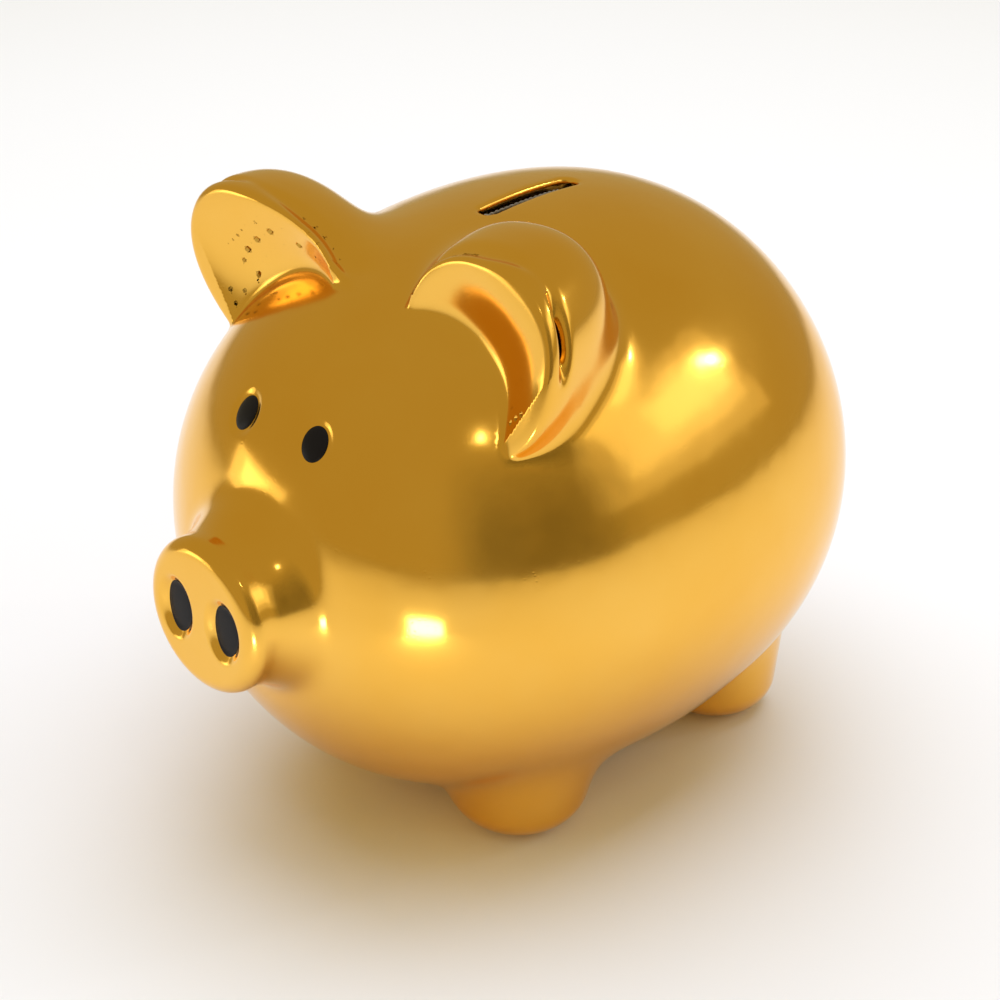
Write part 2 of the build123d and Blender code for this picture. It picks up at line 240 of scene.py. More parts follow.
@dataclass(frozen=True)
class EarForm:
    """A domed ear with a leaning dished face, a rolled rim and a groove behind the rim."""

    side: int = 1
    angle: float = math.radians(28.25)  # from the top of the egg round to the ear
    middle: tuple[float, float, float] = (2.52, -35.09, 66.9)  # across, along Y, out from the axis
    half_width: float = 23.63
    half_depth: float = 25.46
    rise: float = 24.34
    section_power: float = 2.36
    depth_power: float = 2.95
    roll: float = math.radians(31.55)
    yaw: float = math.radians(7.87)
    shear: float = -0.15
    face_y: float = -48.76
    face_lean: float = math.radians(-12.0)
    face_yaw: float = math.radians(-2.0)
    face_level: float = 65.0
    soften: float = 0.14
    base_hollow: float = 6.5  # how far the face's foot is set back in its middle
    base_half_width: float = 21.0
    rim: float = 2.4
    rim_round: float = 3.0
    dish_depth: float = 11.0
    dish_sink: float = 2.0  # how far the dish reaches under the egg's surface
    dish_round: float = 2.4
    base_ridge: float = 2.2  # thickness of the ridge along the dish's foot
    groove_back: tuple[float, float] = (5.6, 4.0)  # at the outer and the inner side
    groove_width: tuple[float, float] = (1.4, 2.4)
    groove_depth: tuple[float, float] = (3.0, 1.5)
    front_fillet: float = 2.0
    back_fillet: float = 11.0

    def near(self, p: Array) -> Array:
        """Which points are close enough to matter."""
        return (p[..., 0] * self.side > -2.0) & (p[..., 2] > 22.0) & (p[..., 1] < 0.0) & (p[..., 1] > -72.0)

    def distance(self, p: Array) -> Array:
        """Distances to the ear and its groove.

        Args:
            p: Points, one row each, mm.

        Returns:
            The distances, mm.
        """
        across, out, behind = self.frame(p)
        dome = self._dome(across, p[..., 1], out)
        around = np.arctan2(out - self.middle[2], across - self.middle[0])
        outer = fade(around, 0.42, 0.85) * (1.0 - fade(around, 0.95, 1.6))
        inner = fade(around, 1.4, 2.2)
        back, wide = (a + (b - a) * inner for a, b in (self.groove_back, self.groove_width))
        deep = self.groove_depth[0] * outer + self.groove_depth[1] * inner
        groove = deep * np.exp(-(((behind - back) / wide) ** 2))
        return smooth_max(dome + groove, -behind * 0.95, self.rim_round)

    def frame(self, p: Array) -> tuple[Array, Array, Array]:
        """Where points lie across the ear, out from the egg's axis, and behind the ear's face.

        Args:
            p: Points, one row each, mm.

        Returns:
            Across, out and behind, mm.
        """
        x, y, z = p[..., 0] * self.side, p[..., 1], p[..., 2]
        across = x * math.cos(self.angle) - z * math.sin(self.angle)
        out = x * math.sin(self.angle) + z * math.cos(self.angle)
        lean, yaw = math.tan(self.face_lean), math.tan(self.face_yaw)
        foot = np.maximum(1.0 - (across / self.base_half_width) ** 2, 0.0)
        foot = foot * (1.0 - fade(out, self.face_level, self.face_level + 24.0))
        face_at = self.face_y - lean * (out - self.face_level) + yaw * across + self.base_hollow * foot
        return across, out, y - face_at

    def dish(self, p: Array) -> Array:
        """Distances to the bowl that is scooped out behind the rim, a little way into the shell.

        Args:
            p: Points, one row each, mm.

        Returns:
            The distances, mm.
        """
        across, out, behind = self.frame(p)
        sides = self._dome(across, p[..., 1], out) + self.rim + 0.6
        floor = -EggForm().distance(p) - self.dish_sink
        bowl = smooth_max(sides, floor, 5.0)
        bowl = smooth_max(bowl, behind - self.dish_depth, 7.0)
        return smooth_max(bowl, self.base_ridge - behind, 1.5)

    def fillet(self, p: Array) -> Array:
        """The reach of the fillet around the ear's foot, crisp in front and wide behind."""
        return self.front_fillet + (self.back_fillet - self.front_fillet) * fade(p[..., 1], -50.0, -34.0)

    def _dome(self, across: Array, y: Array, out: Array) -> Array:
        """Distances to the whole dome, in the ear's own directions.

        Args:
            across: Across the ear, mm.
            y: Along the egg's axis, mm.
            out: Out from the egg's axis, mm.

        Returns:
            The distances, mm.
        """
        a = across - self.shear * (y - self.face_y) - self.middle[0]
        b, c = y - self.middle[1], out - self.middle[2]
        turned_a = a * math.cos(self.yaw) + b * math.sin(self.yaw)
        depth = -a * math.sin(self.yaw) + b * math.cos(self.yaw)
        width = turned_a * math.cos(self.roll) + c * math.sin(self.roll)
        height = -turned_a * math.sin(self.roll) + c * math.cos(self.roll)
        n, m = self.section_power, self.depth_power
        u = np.sqrt((width / self.half_width) ** 2 + self.soften**2)
        v = np.sqrt((depth / self.half_depth) ** 2 + self.soften**2)
        w = np.sqrt((height / self.rise) ** 2 + self.soften**2)
        section = u**n + w**n
        total = section ** (m / n) + v**m
        scale = total ** (1.0 / m - 1.0)
        slope = scale * np.sqrt(
            (section ** (m / n - 1.0) * u ** (n - 1.0) / self.half_width) ** 2
            + (section ** (m / n - 1.0) * w ** (n - 1.0) / self.rise) ** 2
            + (v ** (m - 1.0) / self.half_depth) ** 2
        )
        return (total ** (1.0 / m) - 1.0) / np.maximum(slope, 1e-4)


@dataclass(frozen=True)
class LegForm:
    """A tapered stub that leans inwards, with a round-edged sole."""

    x: float
    y: float
    lean: tuple[float, float]
    floor: float = -79.2
    radius: float = 15.6
    flare: float = 0.28
    height: float = 52.0
    edge: float = 9.0
    fillet_reach: float = 9.0

    def near(self, p: Array) -> Array:
        """Which points are close enough to matter."""
        return (np.hypot(p[..., 0] - self.x, p[..., 1] - self.y) < 44.0) & (p[..., 2] < -20.0)

    def fillet(self, p: Array) -> float:
        """The reach of the fillet around the leg's root."""
        return self.fillet_reach

    def distance(self, p: Array) -> Array:
        """Distances to the leg.

        Args:
            p: Points, one row each, mm.

        Returns:
            The distances, mm.
        """
        up = p[..., 2] - self.floor
        t = up / self.height
        x = self.x - math.copysign(self.lean[0], self.x) * t
        y = self.y - math.copysign(self.lean[1], self.y) * t
        side = np.hypot(p[..., 0] - x, p[..., 1] - y) - self.radius - self.flare * up
        return round_corner(side / math.hypot(1.0, self.flare), -up, self.edge)


@dataclass(frozen=True)
class EyePocket:
    """A faint oval recess for an enamel eye, square to the face."""

    x: float = 11.9
    z: float = 40.2
    half_width: float = 5.3
    half_height: float = 6.2
    depth: float = 0.6

    def frame(self, egg: EggForm) -> tuple[Array, Array, Array, Array]:
        """The left eye's middle and its directions across, up and out.

        Args:
            egg: The egg that the pocket lies in.

        Returns:
            The middle and three unit directions.
        """
        middle = egg.front_point(self.x, self.z)
        out = slope_of(egg.distance, middle[None])[0]
        out /= np.linalg.norm(out)
        across = np.cross((0.0, 0.0, 1.0), out)
        across /= np.linalg.norm(across)
        return middle, across, np.cross(out, across), out

    def recess(self, p: Array, egg: EggForm) -> Array:
        """How deep both pockets are at each point.

        Args:
            p: Points, one row each, mm.
            egg: The egg that the pockets lie in.

        Returns:
            The depths, mm.
        """
        middle, across, up, _ = self.frame(egg)
        q = np.stack((np.abs(p[..., 0]), p[..., 1], p[..., 2]), -1) - middle
        reach = np.hypot(q @ across / self.half_width, q @ up / self.half_height)
        return self.depth * (1.0 - fade(reach, 0.66, 1.08)) * (p[..., 1] < -60.0)


@dataclass(frozen=True)
class CoinSlot:
    """The slot in the back, with a softly rounded lip."""

    length: float = 32.0
    width: float = 5.0
    y: float = 6.4
    lip: float = 2.2

    def distance(self, p: Array) -> Array:
        """Distances to the slot's upright prism.

        Args:
            p: Points, one row each, mm.

        Returns:
            The distances, mm.
        """
        run = (self.length - self.width) / 2.0
        beyond = np.maximum(np.abs(p[..., 1] - self.y) - run, 0.0)
        return np.hypot(p[..., 0], beyond) - self.width / 2.0


@dataclass(frozen=True)
class StopperHole:
    """The round hole in the belly and the seat around it."""

    y: float = 14.7
    radius: float = 18.0
    seat_radius: float = 22.75
    seat_depth: float = 2.4
    lip: float = 1.0

    def distance(self, p: Array, belly: float) -> Array:
        """Distances to the hole and seat together.

        Args:
            p: Points, one row each, mm.
            belly: Height of the flat under the belly, mm.

        Returns:
            The distances, mm.
        """
        away = np.hypot(p[..., 0], p[..., 1] - self.y)
        seat = np.maximum(away - self.seat_radius, p[..., 2] - belly - self.seat_depth)
        return np.minimum(away - self.radius, seat)


def slope_of(shape: Callable, p: Array, step: float = 0.02) -> Array:
    """The slope of a distance function.

    Args:
        shape: Function from points to distances.
        p: Points, mm.
        step: Half the span that the slope is measured over, mm.

    Returns:
        One slope vector for each point.
    """
    slopes = np.empty_like(p)
    for axis in range(3):
        offset = np.zeros(3)
        offset[axis] = step
        slopes[:, axis] = (shape(p + offset) - shape(p - offset)) / (2.0 * step)
    return slopes


# --- One skin over all forms ---------------------------------------------------------------------------


def net_surface(values: Array, origin: Array, cell: float) -> tuple[Array, Array]:
    """A net of quads over the surface where values on a grid change sign.

    Args:
        values: Distances at the grid's points.
        origin: The grid's lowest corner, mm.
        cell: The grid's spacing, mm.

    Returns:
        Vertices in millimetres and triangles that face outwards.
    """
    inside = values < 0.0
    corners = [np.array(c) for c in np.ndindex(2, 2, 2)]
    shape = np.array(values.shape) - 1
    blocks = (tuple(slice(c[i], c[i] + shape[i]) for i in range(3)) for c in corners)
    count = sum(inside[block].astype(np.int8) for block in blocks)
    mixed = (count > 0) & (count < 8)
    cells = np.argwhere(mixed)
    number = np.full(mixed.shape, -1, np.int64)
    number[mixed] = np.arange(len(cells))
    total, hits = np.zeros((len(cells), 3)), np.zeros(len(cells))
    for a in corners:
        for axis in range(3):
            if a[axis]:
                continue
            b = a.copy()
            b[axis] = 1
            at_a, at_b = values[tuple((cells + a).T)], values[tuple((cells + b).T)]
            crossed = (at_a < 0.0) != (at_b < 0.0)
            share = np.where(crossed, at_a / np.where(crossed, at_a - at_b, 1.0), 0.0)
            total += np.where(crossed[:, None], a + share[:, None] * (b - a), 0.0)
            hits += crossed
    vertices = origin + (cells + total / hits[:, None]) * cell
    quads = []
    for axis in range(3):
        low = np.take(inside, range(values.shape[axis] - 1), axis)
        high = np.take(inside, range(1, values.shape[axis]), axis)
        edges = np.argwhere(low != high)
        u, v = (axis + 1) % 3, (axis + 2) % 3
        edges = edges[(edges[:, u] > 0) & (edges[:, v] > 0)]
        edges = edges[(edges[:, u] < shape[u]) & (edges[:, v] < shape[v])]
        back_u, back_v = np.eye(3, dtype=int)[u], np.eye(3, dtype=int)[v]
        ring = [number[tuple((edges - o).T)] for o in (0 * back_u, back_u, back_u + back_v, back_v)]
        quad = np.stack(ring, 1)
        flip = ~low[tuple(edges.T)]
        quad[flip] = quad[flip][:, ::-1]
        quads.append(quad)
    quad = np.concatenate(quads)
    return vertices, np.concatenate((quad[:, [0, 1, 2]], quad[:, [0, 2, 3]]))


def edge_table(triangles: Array, size: int) -> tuple[Array, Array]:
    """The mesh's edges, each once, and for each triangle the numbers of its edges ab, bc and ca.

    Args:
        triangles: Three point numbers to a row.
        size: How many points there are.

    Returns:
        The edges, and three edge numbers for each triangle.
    """
    pairs = np.sort(triangles[:, [[0, 1], [1, 2], [2, 0]]].reshape(-1, 2), axis=1)
    keys, owner = np.unique(pairs[:, 0] * size + pairs[:, 1], return_inverse=True)
    return np.stack((keys // size, keys % size), 1), owner.reshape(-1, 3)


def cut_edges(vertices: Array, triangles: Array, marked: Callable) -> tuple[Array, Array]:
    """Splits chosen edges and re-triangulates around them without leaving cracks.

    Args:
        vertices: Vertices, mm.
        triangles: Triangles.
        marked: Function from the edge table to a mask of edges to split and the shares at which they split.

    Returns:
        The vertices and triangles of the finer mesh.
    """
    edges, owner = edge_table(triangles, len(vertices))
    chosen, share = marked(edges)
    middle = np.full(len(edges), -1, np.int64)
    middle[chosen] = len(vertices) + np.arange(chosen.sum())
    ends = edges[chosen]
    t = share[chosen][:, None]
    added = vertices[ends[:, 0]] * (1.0 - t) + vertices[ends[:, 1]] * t
    mids = middle[owner]
    cuts = (mids >= 0).sum(1)
    parts = [triangles[cuts == 0]]
    tri, mid = triangles[cuts == 3], mids[cuts == 3]
    parts += [
        np.stack((tri[:, 0], mid[:, 0], mid[:, 2]), 1),
        np.stack((mid[:, 0], tri[:, 1], mid[:, 1]), 1),
        np.stack((mid[:, 2], mid[:, 1], tri[:, 2]), 1),
        mid,
    ]
    for turn in range(3):
        a, b, c = turn, (turn + 1) % 3, (turn + 2) % 3
        pick = (cuts == 1) & (mids[:, a] >= 0)
        tri, mid = triangles[pick], mids[pick]
        parts += [
            np.stack((tri[:, a], mid[:, a], tri[:, c]), 1),
            np.stack((mid[:, a], tri[:, b], tri[:, c]), 1),
        ]
        pick = (cuts == 2) & (mids[:, c] < 0)
        tri, mid = triangles[pick], mids[pick]
        parts += [
            np.stack((tri[:, b], mid[:, b], mid[:, a]), 1),
            np.stack((tri[:, a], mid[:, a], mid[:, b]), 1),
            np.stack((tri[:, a], mid[:, b], tri[:, c]), 1),
        ]
    return np.concatenate((vertices, added)), np.concatenate(parts)


@dataclass
class GildedPig:
    """The pig's gold pieces, cut from one skin: shell, snout, two ears and four legs."""

    cell: float = 1.7
    wall: float = 4.5
    belly_wall: float = 6.5
    refine_levels: int = 2
    cap_sink: float = 0.5
    cap_rings: int = 5
    egg: EggForm = EggForm()
    eye: EyePocket = EyePocket()
    coin_slot: CoinSlot = CoinSlot()
    hole: StopperHole = StopperHole()
    members: dict = field(
        default_factory=lambda: {
            "snout": SnoutForm(),
            "left_ear": EarForm(side=1),
            "right_ear": EarForm(
                side=-1,
                middle=(-1.4, -41.09, 59.59),
                half_width=22.41,
                half_depth=25.99,
                rise=39.28,
                section_power=2.21,
                depth_power=2.59,
                roll=math.radians(-33.3),
                yaw=math.radians(2.9),
                shear=0.16,
                face_lean=math.radians(2.5),
            ),
            "front_left_leg": LegForm(27.0, -24.2, (2.0, 0.0)),
            "front_right_leg": LegForm(-27.0, -24.2, (2.0, 0.0)),
            "rear_left_leg": LegForm(27.0, 53.6, (7.0, 6.5)),
            "rear_right_leg": LegForm(-27.0, 53.6, (7.0, 6.5)),
        }
    )

    def member_distances(self, p: Array) -> Array:
        """Distances to every member, one column each; far points get a large number.

        Args:
            p: Points, one row each, mm.

        Returns:
            The distances, mm, one column for each member.
        """
        columns = []
        for form in self.members.values():
            column = np.full(p.shape[:-1], FAR_AWAY)
            near = form.near(p)
            if near.any():
                column[near] = form.distance(p[near])
            columns.append(column)
        return np.stack(columns, -1)

    def distance(self, p: Array) -> Array:
        """Distances to the whole gold shell with its hollow and openings.

        Args:
            p: Points, one row each, mm.

        Returns:
            The distances, mm.
        """
        bare = self.egg.distance(p)
        skin = smooth_max(bare, self.egg.belly - p[..., 2], self.egg.belly_round)
        skin = skin + self.eye.recess(p, self.egg)
        each = self.member_distances(p)
        for column, form in enumerate(self.members.values()):
            skin = smooth_min(skin, each[..., column], form.fillet(p))
        for form in (f for f in self.members.values() if isinstance(f, EarForm)):
            near = form.near(p)
            if near.any():
                skin[near] = smooth_max(skin[near], -form.dish(p[near]), form.dish_round)
        top = p[..., 2] > 0.0
        slot = np.where(top, self.coin_slot.distance(p), FAR_AWAY)
        skin = smooth_max(skin, -slot, self.coin_slot.lip)
        opening = np.where(top, FAR_AWAY, self.hole.distance(p, self.egg.belly))
        skin = smooth_max(skin, -opening, self.hole.lip)
        hollow = np.maximum(self.egg.distance(p, -self.wall), self.egg.belly + self.belly_wall - p[..., 2])
        return smooth_max(skin, -hollow, self.hole.lip)

    def seam(self, p: Array) -> Array:
        """Below zero on a member, above zero on the shell, zero where they meet.

        Args:
            p: Points, one row each, mm.

        Returns:
            The signed gaps, mm.
        """
        bare = self.egg.distance(p)
        gap = self.member_distances(p).min(-1) - bare
        return np.where(bare > -self.wall / 2.0, gap, self.wall)

    def settle(self, p: Array, rounds: int) -> Array:
        """Moves points onto the skin."""
        for _ in range(rounds):
            slope = slope_of(self.distance, p)
            size = np.maximum((slope**2).sum(1), 0.05)
            step = self.distance(p) / size
            p = p - np.clip(step, -1.0, 1.0)[:, None] * slope
        return p

    def relax(self, p: Array, triangles: Array, rounds: int) -> Array:
        """Evens out the spacing of points along the skin.

        Args:
            p: Points, one row each, mm.
            triangles: Three point numbers to a row.
            rounds: How often the points are moved.

        Returns:
            The moved points, mm.
        """
        edges, _ = edge_table(triangles, len(p))
        degree = np.bincount(edges.ravel(), minlength=len(p))
        for _ in range(rounds):
            total = np.zeros_like(p)
            for axis in range(3):
                total[:, axis] = np.bincount(edges[:, 0], p[edges[:, 1], axis], len(p))
                total[:, axis] += np.bincount(edges[:, 1], p[edges[:, 0], axis], len(p))
            pull = total / degree[:, None] - p
            normal = slope_of(self.distance, p)
            normal /= np.maximum(np.linalg.norm(normal, axis=1, keepdims=True), 1e-6)
            pull -= (pull * normal).sum(1, keepdims=True) * normal
            p = p + 0.5 * pull
        return self.settle(p, 1)

    def fine_zone(self, p: Array, level: int) -> Array:
        """Where the skin needs smaller triangles, at a level of refinement.

        Args:
            p: Points, one row each, mm.
            level: 0 for the first halving, 1 for the second.

        Returns:
            True for each point in the zone.
        """
        each = self.member_distances(p)
        bare = self.egg.distance(p)
        outside = bare > -3.0
        margin = (4.0, 1.4)[level]
        legs = each[:, 3:].min(1) < (2.0, -FAR_AWAY)[level]
        head = each[:, :3].min(1) < margin
        slot = np.abs(self.coin_slot.distance(p)) < margin - 0.5
        eye = self.eye.recess(p, self.egg) > 0.0
        away = np.hypot(p[:, 0], p[:, 1] - self.hole.y)
        belly = (np.abs(away - 20.5) < margin) & (p[:, 2] < -60.0) & (level == 0)
        return outside & (head | legs | eye | (slot & (p[:, 2] > 0.0))) | belly

    def skin(self) -> tuple[Array, Array]:
        """The whole skin as vertices and triangles, fine near its details and cut along its seams.

        Returns:
            The vertices, mm, and the triangles.
        """
        low, high = np.array([-79.0, -106.0, -83.0]), np.array([79.0, 92.0, 92.0])
        steps = [np.arange(a, b, self.cell) for a, b in zip(low, high)]
        slabs = []
        for x in np.array_split(steps[0], 8):
            slabs.append(self.distance(np.stack(np.meshgrid(x, steps[1], steps[2], indexing="ij"), -1)))
        values = np.concatenate(slabs)
        for axis in range(3):
            if np.take(values, (0, -1), axis=axis).min() <= 0.0:
                raise ValueError(f"the skin reaches the sampled volume's edge on axis {axis}")
        p, triangles = net_surface(values, low, self.cell)
        p = self.relax(self.settle(p, 2), triangles, 3)
        for level in range(self.refine_levels):
            zone = self.fine_zone(p, level)
            p, triangles = cut_edges(
                p, triangles, lambda e: (zone[e[:, 0]] & zone[e[:, 1]], np.full(len(e), 0.5))
            )
            p = self.relax(self.settle(p, 2), triangles, 2)
        return self.cut_seams(self.settle(p, 2), triangles)

    def cut_seams(self, p: Array, triangles: Array) -> tuple[Array, Array]:
        """Puts an unbroken line of edges along every seam.

        Args:
            p: Points, one row each, mm.
            triangles: Three point numbers to a row.

        Returns:
            The vertices and triangles after the cuts.
        """
        gap = self.seam(p)
        edges, _ = edge_table(triangles, len(p))
        length = np.linalg.norm(p[edges[:, 0]] - p[edges[:, 1]], axis=1)
        shortest = np.full(len(p), FAR_AWAY)
        np.minimum.at(shortest, edges[:, 0], length)
        np.minimum.at(shortest, edges[:, 1], length)
        close = np.abs(gap) < 0.3 * shortest
        p[close] = self.onto_seam(p[close])
        gap[close] = 0.0

        def crossing(e: Array) -> tuple[Array, Array]:
            """Edges whose ends lie on either side of a seam, and where they cross it.

            Args:
                e: Two point numbers to a row.

            Returns:
                Which edges are crossed, and at what share of their length.
            """
            a, b = gap[e[:, 0]], gap[e[:, 1]]
            crossed = (a * b < 0.0) & (np.abs(a - b) < self.wall)
            return crossed, np.where(crossed, a / np.where(crossed, a - b, 1.0), 0.5)

        before = len(p)
        p, triangles = cut_edges(p, triangles, crossing)
        p[before:] = self.onto_seam(p[before:])
        return p, triangles

    def onto_seam(self, p: Array) -> Array:
        """Moves points onto the line where a member meets the shell."""
        for _ in range(3):
            slope = slope_of(self.seam, p)
            size = np.maximum((slope**2).sum(1), 0.1)
            p = p - np.clip(self.seam(p) / size, -1.0, 1.0)[:, None] * slope
            p = self.settle(p, 1)
        return p

    def pieces(self) -> dict[str, tuple[Array, Array, Array]]:
        """Cuts the skin into closed pieces.

        Returns:
            For each piece its vertices, triangles and normals.
        """
        p, triangles = self.skin()
        middle = p[triangles].mean(1)
        owner = np.where(self.seam(middle) < 0.0, self.member_distances(middle).argmin(1), -1)
        normals = slope_of(self.distance, p)
        normals /= np.maximum(np.linalg.norm(normals, axis=1, keepdims=True), 1e-6)
        result = {}
        for number, name in enumerate(["body_shell", *self.members], start=-1):
            chosen = triangles[owner == number]
            used, compact = np.unique(chosen, return_inverse=True)
            piece = (p[used], compact.reshape(-1, 3), normals[used])
            result[name] = self.close(*piece, sink=self.cap_sink * (2.0 if number < 0 else 1.0))
        return result

    def close(self, p: Array, triangles: Array, normals: Array, sink: float) -> tuple[Array, Array, Array]:
        """Closes each open rim of a piece with rings of faces that follow the egg below the joint.

        Args:
            p: Vertices, mm.
            triangles: Triangles.
            normals: Normals of the vertices.
            sink: How far under the egg's surface the closing faces lie, mm.

        Returns:
            The closed piece's vertices, triangles and normals.
        """
        rims = open_rims(triangles, len(p))
        for rim in rims:
            edge = p[rim]
            hub = edge.mean(0)
            ring, start = np.array(rim), len(p)
            for step in range(1, self.cap_rings + 1):
                t = step / self.cap_rings
                points = edge + (hub - edge) * min(t, 0.999)
                points = points[:1] if step == self.cap_rings else points
                for _ in range(4):
                    slope = slope_of(self.egg.outer, points)
                    depth = self.egg.outer(points) + sink * min(1.0, 2.0 * t)
                    points = points - depth[:, None] * slope
                count = len(ring)
                after = np.roll(np.arange(count), -1)
                fresh = start + np.arange(len(points))
                if step == self.cap_rings:
                    faces = np.stack((ring[after], ring, np.full(count, fresh[0])), 1)
                else:
                    faces = np.concatenate(
                        (
                            np.stack((ring[after], ring, fresh), 1),
                            np.stack((ring[after], fresh, fresh[after]), 1),
                        )
                    )
                p, triangles = np.concatenate((p, points)), np.concatenate((triangles, faces))
                normals = np.concatenate((normals, np.zeros_like(points)))
                ring, start = fresh, len(p)
        return p, triangles, normals


def open_rims(triangles: Array, size: int) -> list[list[int]]:
    """The closed loops of edges that only one triangle uses, in the triangles' own direction.

    Args:
        triangles: Three point numbers to a row.
        size: How many points there are.

    Returns:
        One list of point numbers for each loop.
    """
    directed = triangles[:, [[0, 1], [1, 2], [2, 0]]].reshape(-1, 2)
    keys = directed[:, 0] * size + directed[:, 1]
    reverse = directed[:, 1] * size + directed[:, 0]
    lone = directed[~np.isin(keys, reverse)]
    follow = {int(a): int(b) for a, b in lone}
    rims = []
    while follow:
        start = next(iter(follow))
        rim, at = [], start
        while at in follow:
            rim.append(at)
            at = follow.pop(at)
        if len(rim) > 2 and at == start:
            rims.append(rim)
    return rims


def make_mesh(name: str, p: Array, faces: Array, normals: Array | None = None) -> bpy.types.Object:
    """A mesh object in the frame, at the origin.

    Args:
        name: The piece's name.
        p: Vertices in millimetres about the egg's centre.
        faces: Triangles or quads.
        normals: Normals of the vertices, where they are known exactly.

    Returns:
        The linked object.
    """
    mesh = bpy.data.meshes.new(name)
    mesh.from_pydata(((p + EGG_CENTRE) * MM).tolist(), [], [list(f) for f in faces.tolist()])
    mesh.validate()
    mesh.polygons.foreach_set("use_smooth", np.ones(len(mesh.polygons), bool))
    mesh.update()
    if normals is not None:
        blank = np.linalg.norm(normals, axis=1) < 0.5
        own = np.empty(len(mesh.vertices) * 3, np.float32)
        mesh.vertices.foreach_get("normal", own)
        mixed = np.where(blank[:, None], own.reshape(-1, 3), normals)
        mesh.normals_split_custom_set_from_vertices(mixed.tolist())
    piece = bpy.data.objects.new(name, mesh)
    bpy.context.scene.collection.objects.link(piece)
    return piece


def join_meshes(target: bpy.types.Object, other: bpy.types.Object) -> None:
    """Adds another object's mesh to the target's, and removes the other object.

    Args:
        target: The object that keeps both meshes.
        other: The object that is removed.
    """
    both = bmesh.new()
    both.from_mesh(target.data)
    both.from_mesh(other.data)
    both.to_mesh(target.data)
    both.free()
    spare = other.data
    bpy.data.objects.remove(other)
    bpy.data.meshes.remove(spare)


# --- Finishes --------------------------------------------------------------------------------------------


class Tree:
    """A short way to add and wire nodes in one node tree."""

    def __init__(self, tree: bpy.types.NodeTree) -> None:
        """Keeps the tree that nodes go into."""
        self.tree = tree

    def add(self, kind: str, inputs: dict | None = None, **settings: object) -> bpy.types.Node:
        """Adds a node.

        Args:
            kind: The node's type.
            inputs: For each input, by name or number, a value or the socket that feeds it.
            settings: The node's own properties.

        Returns:
            The node.
        """
        node = self.tree.nodes.new(kind)
        for name, value in settings.items():
            setattr(node, name, value)
        for key, value in (inputs or {}).items():
            if isinstance(value, bpy.types.NodeSocket):
                self.tree.links.new(value, node.inputs[key])
            else:
                node.inputs[key].default_value = value
        return node


def surface_grain_group() -> bpy.types.NodeTree:
    """The uneven face of glazed clay under thin metal: slow waves, fine pits, and a change of tone.

    Returns:
        The node group.
    """
    group = bpy.data.node_groups.new("surface_grain", "ShaderNodeTree")
    face = group.interface
    for name, value in (("Wave Size", 55.0), ("Pit Size", 900.0), ("Pit Share", 0.3), ("Tone Size", 22.0)):
        face.new_socket(name, in_out="INPUT", socket_type="NodeSocketFloat").default_value = value
    for name in ("Wave", "Pits", "Tone"):
        face.new_socket(name, in_out="OUTPUT", socket_type="NodeSocketFloat")
    t = Tree(group)
    given = t.add("NodeGroupInput")
    where = t.add("ShaderNodeTexCoord").outputs["Object"]
    wave = t.add("ShaderNodeTexNoise", {"Vector": where, "Scale": given.outputs["Wave Size"], "Detail": 2.0})
    pits = t.add("ShaderNodeTexVoronoi", {"Vector": where, "Scale": given.outputs["Pit Size"]})
    speck = t.add("ShaderNodeMapRange", {0: pits.outputs["Distance"], 1: 0.0, 2: 0.32, 3: 0.0, 4: 1.0})
    patch = t.add("ShaderNodeTexNoise", {"Vector": where, "Scale": 140.0, "Detail": 3.0})
    sparse = t.add("ShaderNodeMapRange", {0: patch.outputs[0], 1: 0.5, 2: 0.62, 3: 0.0, 4: 1.0})
    depth = t.add("ShaderNodeMath", {0: sparse.outputs[0], 1: given.outputs["Pit Share"]}, operation="MULTIPLY")
    hollow = t.add("ShaderNodeMath", {0: 1.0, 1: speck.outputs[0]}, operation="SUBTRACT")
    dents = t.add("ShaderNodeMath", {0: hollow.outputs[0], 1: depth.outputs[0]}, operation="MULTIPLY")
    tone = t.add("ShaderNodeTexNoise", {"Vector": where, "Scale": given.outputs["Tone Size"], "Detail": 4.0})
    ends = {"Wave": wave.outputs[0], "Pits": dents.outputs[0], "Tone": tone.outputs[0]}
    t.add("NodeGroupOutput", ends)
    return group


